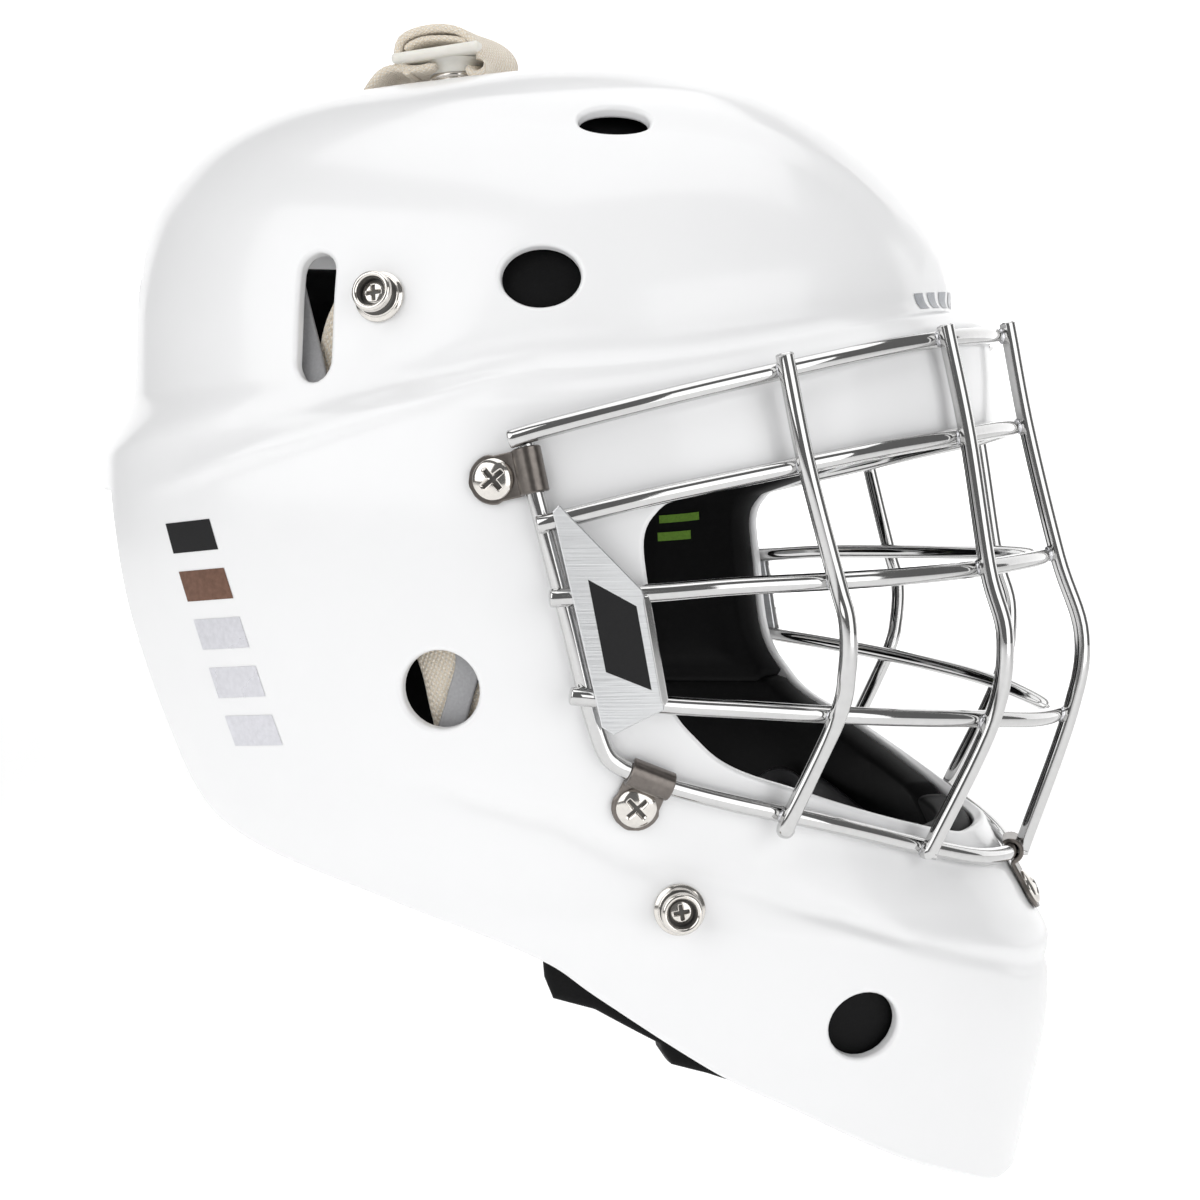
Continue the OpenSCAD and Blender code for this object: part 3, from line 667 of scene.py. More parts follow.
EDGE_LIFT = WIRE + 0.4


def at(t, a, lift):
    """A point over the skin."""
    t, a = np.array([t], float), np.array([a], float)
    return (skin(t, a) + lift * skin_normal(t, a))[0]


EDGE = [at(t, a, EDGE_LIFT) for t, a in EDGE_ROUTE]


def mirror_path(half):
    half = np.asarray(half, float)
    return np.vstack([half, half[-2::-1] * [1, -1, 1]])


def crossing(half, y):
    p = np.asarray(half, float)
    for i in range(len(p) - 1):
        if p[i + 1][1] >= y or i >= len(p) - 2:
            s = (y - p[i][1]) / (p[i + 1][1] - p[i][1])
            along = p[i + 1] - p[i]
            out = unit([along[1], -along[0], 0.0])
            return p[i] + s * along + LEAD * np.array([abs(out[0]), -abs(out[1]), 0])


def foot(t, a, along=(0, 0, 0)):
    return at(t, a, EDGE_LIFT + LEAD) + np.array(along, float)


OUTER_POST = [crossing(BROW, -82) + [-0.8, 0, 4], crossing(BROW, -82), crossing(UPPER, -82.5),
              crossing(MIDDLE, -80), [79.5, -84.2, 1.5], [79.4, -83.4, -10],
              crossing(LOWER, -77), foot(9.393, -45.2), foot(9.393, -45.2, [-1.2, 1.2, -3.4])]
INNER_POST = [crossing(BROW, -45) + [-0.8, 0, 3.6], crossing(BROW, -45), crossing(UPPER, -45),
              crossing(MIDDLE, -45), [115.6, -48.5, -4.5], crossing(LOWER, -45),
              foot(9.667, -23.8), foot(9.667, -23.8, [-0.4, 0.3, -2])]
CENTRE_POST = [[BROW[7][0] + LEAD - 0.8, 0, 78], [BROW[7][0] + LEAD, 0, 74],
               [UPPER[6][0] + LEAD, 0, 49], [MIDDLE[7][0] + LEAD, 0, 14.2], [135.6, 0, -7.5],
               [LOWER[7][0] + LEAD, 0, -28.8], foot(9.79, 0), foot(9.79, 0, [-0.6, 0, -2])]
for name, half in (("brow", BROW), ("upper", UPPER), ("middle", MIDDLE), ("lower", LOWER)):
    mesh_piece(f"bar_{name}", *tube(catmull(mirror_path(half), 8), WIRE), CHROME,
               slot="chrome_wire", replaces=[f"cage_bar_{name}"])
mesh_piece("edge_wire", *tube(catmull(mirror_path(EDGE), 6), WIRE), CHROME, slot="chrome_wire",
           replaces=["cage_edge_wire"])
mesh_piece("post_centre", *tube(catmull(CENTRE_POST, 8), WIRE), CHROME, slot="chrome_wire",
           replaces=["cage_post_centre"])
for name, path in (("inner", INNER_POST), ("outer", OUTER_POST)):
    made = tube(catmull(path, 8), WIRE)
    mesh_piece(f"post_{name}_right", *made, CHROME, slot="chrome_wire",
               replaces=[f"cage_post_{name}_right"])
    mesh_piece(f"post_{name}_left", *mirrored(*made), CHROME, slot="chrome_wire",
               replaces=[f"cage_post_{name}_left"])

# ---------------------------------------------------------------- weld beads
def ellipsoid(centre, axis, radii, sides=12, rows=8):
    """A small flattened ball; its first radius is along the axis."""
    axis = unit(axis)
    u = unit(np.cross(axis, [0.3, 0.2, 0.9]))
    v = np.cross(axis, u)
    verts, faces = [], []
    for i in range(rows + 1):
        lat = math.pi * i / rows
        for j in range(sides):
            lon = 2 * math.pi * j / sides
            verts.append(centre + radii[0] * math.cos(lat) * axis + radii[1] * math.sin(lat)
                         * (math.cos(lon) * u + math.sin(lon) * v))
    for i in range(rows):
        for j in range(sides):
            k = (j + 1) % sides
            faces.append([i * sides + j, (i + 1) * sides + j, (i + 1) * sides + k, i * sides + k])
    return np.array(verts), faces


def nearest(path_a, path_b):
    d = np.linalg.norm(path_a[:, None] - path_b[None], axis=2)
    i, j = np.unravel_index(np.argmin(d), d.shape)
    return path_a[i], path_b[j], d[i, j]


bars = [catmull(mirror_path(h), 24) for h in (BROW, UPPER, MIDDLE, LOWER)]
bars.append(catmull(mirror_path(EDGE), 16))
posts = [catmull(CENTRE_POST, 24)]
for path in (INNER_POST, OUTER_POST):
    posts += [catmull(path, 24), catmull(path, 24) * flip]
beads = []
for post in posts:
    for bar in bars:
        p, q, gap = nearest(post, bar)
        if gap < 5:
            beads.append(ellipsoid((p + q) / 2, p - q, (1.5, 2.35)))
mesh_piece("weld_beads", *join_meshes(beads), WELD, slot="chrome_wire")

# ---------------------------------------------------------------- padding
NEAR = 5.0
FAR = 16.0
JAW_EDGE = [[0, 20], [6, -94], [19, -97], [36, -106], [37, -111], [48, -114], [67, -121],
            [90, -136], [112, -150], [112, 20]]


def pad_field(t0, t1, a0, a1, corner, extra):
    def field(t, a):
        p = skin(t, a)
        st = np.linalg.norm(skin(t + 0.02, a) - skin(t - 0.02, a), axis=1) / 0.04
        sa = np.linalg.norm(skin(t, a + 0.2) - skin(t, a - 0.2), axis=1) / 0.4
        u = np.minimum(t - t0, t1 - t) * st
        v = np.minimum(a - a0, a1 - a) * sa
        r = corner
        d = np.where((u < r) & (v < r), r - np.hypot(r - u, r - v), np.minimum(u, v))
        for f in extra:
            d = np.minimum(d, f(p))
        return d
    return field


def foam_pad(name, nodes, t0, t1, a0, a1, near=NEAR, far=FAR, corner=9.0, extra=(), reach=4.5,
             mat=None, slot="black_foam", body="mask", step=1.8, groove=0.7, swell=0.16,
             round_in=5.0, both=False, sink=0.0):
    """A foam block against the shell, its free face swollen and its rim rounded.

    Sink moves it inward by that much below its upper quarter, as the back plate hangs.
    """
    field = pad_field(t0, t1, a0, a1, corner, extra)
    tm, am = (t0 + t1) / 2, (a0 + a1) / 2
    one = np.array([tm]), np.array([am])
    st = np.linalg.norm(skin(one[0] + 0.1, one[1]) - skin(one[0] - 0.1, one[1])) / 0.2
    sa = np.linalg.norm(skin(one[0], one[1] + 1) - skin(one[0], one[1] - 1)) / 2
    step = step / FINE
    rows = np.linspace(t0, t1, max(6, int((t1 - t0) * st / step)))
    cols = np.linspace(a0, a1, max(6, int((a1 - a0) * sa / step)))
    params, faces = trim_grid(rows, cols, False, lambda t, a: field(t, a) - reach)
    t, a = params[:, 0], params[:, 1]
    n = skin_normal(t, a)
    inward = pad_direction(t, a)
    d = field(t, a) - reach
    thick = (far - near) * (1 - swell * np.exp(-(d / 9) ** 2))
    thick = thick - groove * np.exp(-((d - 5.5) / 1.3) ** 2)
    hang = sink * smooth(np.clip((t - 5.0) / 2.0, 0, 1))[:, None]
    verts, quads, _ = wall_mesh(faces, skin(t, a) + inward * (near + hang), n, inward, thick,
                                field_away(field, params), reach, min(1.5, (far - near) / 3),
                                round_in)
    made = [mesh_piece(name, verts, quads, mat or FOAM, body, slot, nodes[:1])]
    if both:
        v2, f2 = mirrored(verts, quads)
        left = name.replace("right", "left")
        made.append(mesh_piece(left, v2, f2, mat or FOAM, body, slot, nodes[1:]))
    return made


def off_eye(p):
    return eye_distance(p) + 0.6


def off_jaw(p):
    return outline_distance(p[:, [0, 2]], np.array(JAW_EDGE, float))


foam_pad("forehead_cushion", ["forehead_pad"], 3.9, 5.9, -84, 84)
foam_pad("crown_cushion", ["crown_pad"], 1.2, 3.3, -70, 70)
foam_pad("brow_cushion", ["brow_pad"], 6.95, 7.42, -38, 38, corner=4.0, reach=2.5, groove=0.2,
         round_in=3.0)
foam_pad("temple_cushion_right", ["temple_pad_right", "temple_pad_left"], 6.95, 9.03, -86, -38,
         extra=[off_eye], corner=3.0, reach=2.2, groove=0.3, both=True)
foam_pad("jaw_cushion_right", ["jaw_pad_right", "jaw_pad_left"], 8.96, 11.98, -82, -15.5,
         extra=[off_eye, off_jaw], corner=3.0, reach=2.2, groove=0.3, both=True)
foam_pad("rear_cushion_right", ["rear_pad_right", "rear_pad_left"], 6.95, 9.2, -132, -111,
         both=True)
foam_pad("side_lining_right", ["side_liner_right", "side_liner_left"], 4.25, 9.2, -130, -88,
         near=17.0, far=21.0, reach=2.0, groove=0.0, round_in=2.0, both=True)
foam_pad("chin_cushion", ["chin_pad"], 9.55, 10.9, -15, 15, extra=[off_eye], corner=3.0,
         reach=2.2)
foam_pad("back_plate_moulding", ["back_plate"], 4.62, 9.35, 155.5, 204.5, near=1.0, far=4.0,
         reach=1.2, corner=14.0, mat=PLATE_GLOSS, slot="back_plate_gloss", body="back_plate",
         groove=0.0, swell=0.0, round_in=1.2, sink=5.5)
foam_pad("back_plate_cushion", ["back_plate_foam"], 4.95, 9.1, 159, 201, near=4.4, far=12.0,
         reach=3.0, corner=14.0, body="back_plate", round_in=4.0, sink=5.5)


# ---------------------------------------------------------------- webbing
def webbing(name, path, across, width, thick, mat, body="mask", slot="strap_cotton",
            replaces=(), wave=0.0, steps=6):
    """Flat braided strap along a path; across gives its width direction at each route point."""
    p = catmull(path, steps)
    w = np.asarray(across, float)
    if w.ndim == 1:
        w = np.repeat(w[None], len(path), axis=0)
    w = catmull(w, steps)
    tangent = unit(np.gradient(p, axis=0))
    w = unit(w - tangent * (w * tangent).sum(1, keepdims=True))
    n = np.cross(tangent, w)
    length = np.concatenate([[0], np.cumsum(np.linalg.norm(np.diff(p, axis=0), axis=1))])
    flat = width / 2 - thick / 2
    section, around = [], [0.0]
    for k in range(9):
        section.append((-flat + 2 * flat * k / 8, thick / 2))
    for k in range(1, 6):
        q = math.pi / 2 - math.pi * k / 6
        section.append((flat + thick / 2 * math.cos(q), thick / 2 * math.sin(q)))
    for k in range(9):
        section.append((flat - 2 * flat * k / 8, -thick / 2))
    for k in range(1, 6):
        q = -math.pi / 2 - math.pi * k / 6
        section.append((-flat + thick / 2 * math.cos(q), thick / 2 * math.sin(q)))
    section = np.array(section)
    ring = np.linalg.norm(np.roll(section, -1, axis=0) - section, axis=1)
    around = np.concatenate([[0], np.cumsum(ring)])
    sides = len(section)
    rings = []
    for i in range(len(p)):
        sag = wave * math.sin(length[i] / 5.5 + 0.8) + 0.5 * wave * math.sin(length[i] / 2.3)
        cup = 0.35 * wave * (section[:, 0] / (width / 2)) ** 2
        end = min(1.0, 0.55 + 0.45 * min(i, len(p) - 1 - i) / 1.5)
        rings.append(p[i] + section[:, :1] * w[i] * (0.96 + 0.04 * end)
                     + (section[:, 1:] * end + sag + cup[:, None]) * n[i])
    verts, faces = rings_to_mesh(rings)
    faces = [list(reversed(f)) for f in faces]
    piece = mesh_piece(name, verts, faces, mat, body, slot, replaces)
    layer = piece.data.uv_layers.new(name="weave")
    for polygon in piece.data.polygons:
        ids = [piece.data.loops[k].vertex_index for k in polygon.loop_indices]
        js = [v % sides for v in ids]
        wraps = max(js) - min(js) > sides / 2 and len(ids) == 4
        for k, v, j in zip(polygon.loop_indices, ids, js):
            u = around[j] if not (wraps and j == 0) else around[-1]
            layer.data[k].uv = (u, length[v // sides])
    return piece


def lathe(profile, centre, axis, sides=44, squeeze=(1.0, 1.0)):
    """A turned part from [radius, height] pairs along an axis."""
    axis = unit(axis)
    u = unit(np.array([1.0, 0.0, 0.0]) - axis * axis[0])
    v = np.cross(axis, u)
    angle = np.arange(sides) * 2 * math.pi / sides
    ring = (np.cos(angle)[:, None] * u * squeeze[0] + np.sin(angle)[:, None] * v * squeeze[1])
    rings = [centre + axis * z + max(r, 0.01) * ring for r, z in profile]
    return rings_to_mesh(rings)


def slab(centre, u, v, size, radius):
    """A rounded bar: size along u, v and their normal."""
    u, v = unit(u), unit(v)
    n = np.cross(u, v)
    lx, ly, lz = size
    section = []
    for cx, cz, start in ((1, 1, 0), (-1, 1, 90), (-1, -1, 180), (1, -1, 270)):
        for k in range(5):
            q = math.radians(start + 22.5 * k)
            section.append((cx * (lx / 2 - radius) + radius * math.cos(q),
                            cz * (lz / 2 - radius) + radius * math.sin(q)))
    section = np.array(section)
    rings = []
    for y, shrink in ((-ly / 2, 1.0), (-ly / 2 + 0.3 * radius, 0.3), (-ly / 2 + radius, 0.0),
                      (0, 0.0), (ly / 2 - radius, 0.0), (ly / 2 - 0.3 * radius, 0.3),
                      (ly / 2, 1.0)):
        inset = section - np.sign(section) * np.minimum(radius * shrink, np.abs(section))
        rings.append(centre + v * y + inset[:, :1] * u + inset[:, 1:] * n)
    return rings_to_mesh(rings)


def skin_frame(t, a, turn=0.0):
    """Centre, local X, local Y and normal of a mount on the skin, turned about the normal."""
    centre, n = at(t, a, 0.0), skin_normal(np.array([t]), np.array([a]))[0]
    phi, theta = math.atan2(n[1], n[0]), math.acos(n[2])
    x = np.array([math.cos(theta) * math.cos(phi), math.cos(theta) * math.sin(phi),
                  -math.sin(theta)])
    y = np.array([-math.sin(phi), math.cos(phi), 0.0])
    c, s = math.cos(math.radians(turn)), math.sin(math.radians(turn))
    return centre, c * x + s * y, c * y - s * x, n


SHADED_RECESS_FLAGS = []


def dome_screw(t, a, turn, radius, height, seat, arm, width):
    """Round-headed screw with a cross recess, from a square grid drawn into a disc."""
    centre, x, y, n = skin_frame(t, a, turn)
    count = 41
    g = np.linspace(-1, 1, count)
    gu, gv = np.meshgrid(g, g, indexing="ij")
    du, dv = gu * np.sqrt(1 - gv ** 2 / 2), gv * np.sqrt(1 - gu ** 2 / 2)
    rho = np.hypot(du, dv)
    pu, pv = du * radius, dv * radius
    z = seat + 0.5 + (height - 0.5) * np.sqrt(np.maximum(1 - (0.94 * rho) ** 2, 0)) \
        - (height - 0.5) * math.sqrt(1 - 0.94 ** 2)
    one = np.minimum(arm - np.abs(pu), width * (1.1 - 0.2 * np.abs(pu) / arm) - np.abs(pv))
    two = np.minimum(arm - np.abs(pv), width * (1.1 - 0.2 * np.abs(pv) / arm) - np.abs(pu))
    inside = np.maximum(one, two)
    z = z - 1.5 * smooth(inside / 0.25 + 0.4) * (1 - 0.3 * rho)
    grid = centre + pu[..., None] * x + pv[..., None] * y + z[..., None] * n
    verts = [grid.reshape(-1, 3)]
    faces = [[i * count + j, (i + 1) * count + j, (i + 1) * count + j + 1, i * count + j + 1]
             for i in range(count - 1) for j in range(count - 1)]
    border = [i * count for i in range(count)] \
        + [(count - 1) * count + j for j in range(1, count)] \
        + [i * count + count - 1 for i in range(count - 2, -1, -1)] \
        + [j for j in range(count - 2, 0, -1)]
    base = count * count
    low = verts[0][border]
    low = low - ((low - centre) @ n)[:, None] * n + n * seat
    verts.append(low)
    # Faces deep in the cross recess, which get the painted shade.
    sunk = (inside > 0.02).ravel()
    SHADED_RECESS_FLAGS.append([all(sunk[v] for v in f) for f in faces] + [False] * len(border))
    m = len(border)
    for k in range(m):
        faces.append([border[(k + 1) % m], border[k], base + k, base + (k + 1) % m])
    return np.vstack(verts), faces


def paint_shade_in_recesses(piece, order):
    """Paints the sunk faces of joined screw heads darker, as painted shade, head by head."""
    piece.data.materials.append(RECESS_PAINTED_SHADE)
    flags = [flag for k in order for flag in SHADED_RECESS_FLAGS[k]]
    piece.data.polygons.foreach_set("material_index", [int(f) for f in flags])


def strip(path, widths, thick, frame_):
    """A bent metal strip in a mount's local Y-Z plane."""
    centre, x, y, n = frame_
    p = np.asarray(path, float)
    tangent = unit(np.gradient(p, axis=0))
    normal = np.stack([-tangent[:, 1], tangent[:, 0]], 1)
    edge = 0.3
    rings = []
    for i in range(len(p)):
        w, h = widths[i] / 2, thick / 2
        section = [(w, -h + edge), (w, h - edge), (w - edge, h), (-w + edge, h), (-w, h - edge),
                   (-w, -h + edge), (-w + edge, -h), (w - edge, -h)]
        ring = []
        for across, up in section:
            q = p[i] + normal[i] * up
            ring.append(centre + x * across + y * q[0] + n * q[1])
        rings.append(np.array(ring))
    return rings_to_mesh(rings)


def sharp_edges(piece, angle=38):
    piece.data.set_sharp_from_angle(angle=math.radians(angle))
    return piece


def paint_shade_in_cup(piece, first_row, sides=44):
    """The inside of a stud's cup and its lower groove get a darker colour: painted shade."""
    piece.data.materials.append(RECESS_PAINTED_SHADE)
    rows = [1 if (i >= first_row or 8 <= i <= 11) else 0
            for i in range(len(STUD) - 1) for _ in range(sides)] + [0, 1]
    piece.data.polygons.foreach_set("material_index", rows[:len(piece.data.polygons)])


def pair(name, made, mat, slot, nodes):
    """A right-hand piece and its mirror image."""
    right = mesh_piece(f"{name}_right", *made, mat, slot=slot, replaces=nodes[:1])
    left = mesh_piece(f"{name}_left", *mirrored(*made), mat, slot=slot, replaces=nodes[1:])
    return right, left


STUD = [[4.0, 0.1], [6.1, 0.1], [6.35, 0.35], [6.35, 0.8], [6.15, 1.1], [5.6, 1.25], [5.4, 1.45],
        [5.35, 1.75], [5.1, 1.95], [4.4, 2.05], [4.1, 2.35], [4.05, 3.3], [4.25, 3.75],
        [4.75, 3.95], [5.0, 4.3], [5.1, 5.0], [5.02, 5.7], [4.75, 6.15], [4.35, 6.35],
        [3.95, 6.28], [3.65, 5.95], [3.45, 5.3], [3.35, 4.3], [3.3, 3.6], [0.0, 3.6]]
UPPER_STUD, LOWER_STUD, CROWN_STUD = (5.01, -100), (10.09, -60), (0.85, 180)
UPPER_CLIP, LOWER_CLIP, CHIN_CLIP = (7.16, -82), (9.3, -65.2), (9.97, 0)
for name, where in (("upper", UPPER_STUD), ("lower", LOWER_STUD)):
    centre, _, _, n = skin_frame(*where)
    made = lathe(STUD, centre, n)
    for piece in pair(f"stud_{name}", made, NICKEL, "stud_nickel",
                      [f"snap_stud_{name}_right", f"snap_stud_{name}_left"]):
        sharp_edges(piece, 50)
        paint_shade_in_cup(piece, 20)
screws = []
for where, turn in ((UPPER_STUD, 8), (LOWER_STUD, 10)):
    made = dome_screw(*where, turn, 2.9, 1.3, 3.5, 1.9, 0.42)
    screws += [made, mirrored(*made)]
screws.append(dome_screw(*CROWN_STUD, 20, 2.9, 1.3, 3.5, 1.9, 0.42))
heads = mesh_piece("stud_screw_heads", *join_meshes(screws), NICKEL, slot="screw_nickel",
                   replaces=["stud_screws"])
paint_shade_in_recesses(heads, [0, 0, 1, 1, 2])
SHADED_RECESS_FLAGS.clear()
screws = []
for where, turn in ((UPPER_CLIP, 40), (LOWER_CLIP, 42)):
    made = dome_screw(*where, turn, 4.95, 2.7, 1.5, 3.1, 0.62)
    screws += [made, mirrored(*made)]
screws.append(dome_screw(*CHIN_CLIP, 45, 4.95, 2.7, 1.5, 3.1, 0.62))
heads = mesh_piece("clip_screw_heads", *join_meshes(screws), NICKEL, slot="screw_nickel",
                   replaces=["clip_screws"])
paint_shade_in_recesses(heads, [0, 0, 1, 1, 2])


def clip_path(reach, wire_z):
    """Lug, bend and hook over the wire, as [along, height], with the strip's width."""
    mid = WIRE + 0.15 + 0.6
    path, widths = [], []
    for y in np.linspace(-5.95, 0, 9):
        path.append((y, 0.9))
        widths.append(max(2 * math.sqrt(36 - y * y), 1.6))
    for y in np.linspace(1.2, reach - mid - 1.2, 4):
        path.append((y, 0.9))
        widths.append(11.0)
    path += [(reach - mid - 0.5, 1.0), (reach - mid - 0.05, 1.5)]
    widths += [11.0, 11.0]
    for q in np.linspace(180, -12, 15):
        path.append((reach + mid * math.cos(math.radians(q)),
                     wire_z + mid * math.sin(math.radians(q))))
        widths.append(11.0)
    return path, widths


for name, where, turn, reach, wire_z in (("upper", UPPER_CLIP, 12.6, 9.3, 2.3),
                                         ("lower", LOWER_CLIP, 67.4, 8.1, 2.55)):
    path, widths = clip_path(reach, wire_z)
    made = strip(path, widths, 1.2, skin_frame(*where, turn))
    for piece in pair(f"clip_{name}_strip", made, CLIP, "clip_steel",
                      [f"clip_{name}_right", f"clip_{name}_left"]):
        sharp_edges(piece, 40)
path, widths = clip_path(11.9, 2.05)
sharp_edges(mesh_piece("clip_chin_strip", *strip(path, widths, 1.2, skin_frame(*CHIN_CLIP, 90)),
                       CLIP, slot="clip_steel", replaces=["clip_chin"]), 40)

# ---------------------------------------------------------------- crown snap, slider and straps
centre, _, _, crown_n = skin_frame(*CROWN_STUD)
mesh_piece("stud_crown", *lathe(STUD, centre, crown_n), NICKEL, slot="stud_nickel",
           replaces=["snap_stud_top"])
bar_a, bar_b = np.array([-58.6, 0, 154.6]), np.array([-32.4, 0, 157.2])
bar_mid = (bar_a + bar_b) / 2
bar_u = unit(bar_b - bar_a)
neck_top = (bar_mid - centre) @ crown_n - 1.2
neck = lathe([[5.35, 3.9], [6.7, 3.9], [6.9, 4.3], [6.9, 5.0], [7.2, 5.8], [8.2, neck_top - 0.9],
              [9.6, neck_top], [5.35, neck_top + 0.3]], centre, crown_n, squeeze=(1.12, 1.0))
bar = slab(bar_mid, bar_u, [0, 1, 0], (np.linalg.norm(bar_b - bar_a), 24, 2.9), 1.1)
slider = mesh_piece("slider_bar", *join_meshes([neck, bar]), SLIDER, "crown_snap",
                    "slider_plastic", ["strap_slider"])
sharp_edges(slider, 50)
socket = lathe([[5.4, 0.9], [6.9, 0.9], [7.25, 1.2], [7.3, 1.8], [7.1, 2.2], [6.9, 2.4],
                [7.1, 2.6], [7.3, 3.0], [7.25, 3.5], [6.9, 3.8], [5.4, 3.8]], centre, crown_n)
sharp_edges(mesh_piece("snap_socket", *socket, NICKEL, "crown_snap", "stud_nickel"), 60)

OUTER_LOOP = [[-46, 0, 152.7], [-52, 0, 152.0], [-55.4, 0, 152.6], [-57.3, 0, 156.0],
              [-56, 0, 160.4], [-51, 0, 162.7], [-44, 0, 163.0], [-37, 0, 161.6],
              [-32.4, 0, 158.4], [-30.4, 0, 154.8], [-30.8, 0, 152.2], [-33.4, 0, 151.6],
              [-36, 0, 153.0]]
turned = [[0, 1, 0]] * 6 + [[0.05, 1, 0], [0.12, 1, 0.05], [0.2, 1, 0.1], [0.3, 1, 0.15],
                            [0.34, 1, 0.2], [0.3, 1, 0.2], [0.2, 1, 0.1]]
webbing("loop_strap", OUTER_LOOP, turned, 20, 2.3, COTTON, "crown_snap",
        replaces=["crown_strap_loop"], wave=0.12)
webbing("loop_strap_inner", [[-55.2, 0, 157.4], [-53.4, 0, 158.9], [-49.5, 0, 160.1],
                             [-44.5, 0, 160.3], [-40, 0, 159.8], [-36.6, 0, 158.9]],
        [0, 1, 0], 18.5, 1.7, COTTON, "crown_snap", wave=0.08)
crown_strap = webbing("crown_strap_webbing", [[-126, 0, 98.5], [-122.5, 0, 106], [-116, 0, 114.2],
                                              [-107, 0, 121.5], [-96, 0, 127.8], [-84, 0, 132.4],
                                              [-74, 0, 136.2], [-68.8, 0, 140.8],
                                              [-66.6, 0, 146.4], [-62.2, 0, 151.4],
                                              [-56.6, 0, 152.4], [-53.6, 0, 150.4]],
                      [0, 1, 0], 19.5, 2.4, COTTON, None, replaces=["crown_strap"], wave=0.1)
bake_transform(crown_strap)


# ---------------------------------------------------------------- places on the right side
table_t, table_a = np.meshgrid(np.linspace(4.5, 11.9, 150), np.linspace(-150, -8, 200),
                               indexing="ij")
table_p = skin(table_t.ravel(), table_a.ravel())


def side_place(x, z):
    """Station and angle of the right-hand skin at a side-view point."""
    d = (table_p[:, 0] - x) ** 2 + (table_p[:, 2] - z) ** 2
    i = int(np.argmin(d))
    t, a = table_t.ravel()[i], table_a.ravel()[i]
    for _ in range(4):
        p, pt, pa = skin(np.array([t, t + 0.01, t]), np.array([a, a, a + 0.1]))
        j = np.array([[(pt[0] - p[0]) / 0.01, (pa[0] - p[0]) / 0.1],
                      [(pt[2] - p[2]) / 0.01, (pa[2] - p[2]) / 0.1]])
        dt, da = np.linalg.solve(j, [x - p[0], z - p[2]])
        t, a = t + float(np.clip(dt, -0.1, 0.1)), a + float(np.clip(da, -2, 2))
    return t, a


def under(x, z, depth):
    t, a = side_place(x, z)
    one = np.array([t]), np.array([a])
    return (skin(*one) + pad_direction(*one) * depth)[0]


SIDE_PATH = [(-38, 92, 9), (-42, 84, 9), (-46, 76, 9.5), (-50, 66, 10), (-50.5, 54, 11),
             (-43, 38, 11), (-34, 22, 10), (-24, 6, 9), (-17.5, -8, 8.5), (-14.5, -20, 8.5),
             (-12, -30, 9)]
route = np.array([under(*p) for p in SIDE_PATH])
across = [[0.86, 0.02, 0.5]] * 4 + [[0.8, 0, 0.55]] + [[0.7, 0, 0.7]] * 2 + [[0.75, -0.1, 0.55]] * 4
SIDES = (("right", np.array([1, 1, 1])), ("left", flip))
for side, scale in SIDES:
    webbing(f"side_strap_webbing_{side}", route * scale, np.array(across) * scale, 15, 2.2,
            COTTON, replaces=[f"side_strap_{side}"], wave=0.1)
# A grey strip just inside each side of the shell wall. It is painted shade standing in for the white
# inner wall, in shadow, as seen through the slot and vents.
SHADE_BAND_PATH = [(-67, 96, 6.2), (-64.5, 86, 6.2), (-61.5, 77, 6.2), (-57, 64, 6.4), (-50, 48, 6.5),
             (-35, 26, 6.5), (-19, 6, 6.2), (-11, -6, 6), (-13.5, -18, 6), (-18, -30, 6.4)]
route = np.array([under(*p) for p in SHADE_BAND_PATH])
across = [[0.9, 0.0, 0.3]] * 5 + [[0.8, 0, 0.6]] * 2 + [[0.95, 0, -0.2]] * 3
for side, scale in SIDES:
    webbing(f"side_shade_band_{side}", route * scale, np.array(across) * scale, 6.5, 1.2, SHADED_WALL_GREY,
            slot="slider_plastic")


# ---------------------------------------------------------------- plain printed marks
def skin_patch(name, corners, mat, nu=14, nv=8, lift=0.12, both=True):
    """A thin printed patch between four side-view corners, laid on the shell."""
    c = np.array(corners, float)
    points, norms = [], []
    for i in range(nu + 1):
        for j in range(nv + 1):
            u, v = i / nu, j / nv
            x, z = ((1 - u) * (1 - v) * c[0] + u * (1 - v) * c[1] + u * v * c[2]
                    + (1 - u) * v * c[3])
            t, a = side_place(x, z)
            one = np.array([t]), np.array([a])
            n = face_normal(*one)[0]
            points.append(face_skin(*one)[0] + n * lift)
            norms.append(n)
    m = nv + 1
    faces = [[i * m + j, i * m + j + 1, (i + 1) * m + j + 1, (i + 1) * m + j]
             for i in range(nu) for j in range(nv)]
    first = np.cross(points[1] - points[0], points[m] - points[0])
    if first @ norms[0] < 0:
        faces = [list(reversed(f)) for f in faces]
    mesh_piece(name + "_right", points, faces, mat, slot="shell_gloss", normals=norms)
    if both:
        v2, f2 = mirrored(points, faces)
        mesh_piece(name + "_left", v2, f2, mat, slot="shell_gloss",
                   normals=np.array(norms) * flip)


FOILS = [INK, FOIL_BROWN, FOIL_LIGHT, FOIL_LIGHT, FOIL_LIGHT]
for k in range(5):
    x0, z0 = -95.5 + 4.3 * k, 24.0 - 12.2 * k
    skin_patch(f"foil_bar_{k + 1}", [(x0, z0), (x0 + 15.5, z0 + 1.6), (x0 + 18.2, z0 - 6.0),
                                     (x0 + 2.7, z0 - 7.6)], FOILS[k], 12, 6)


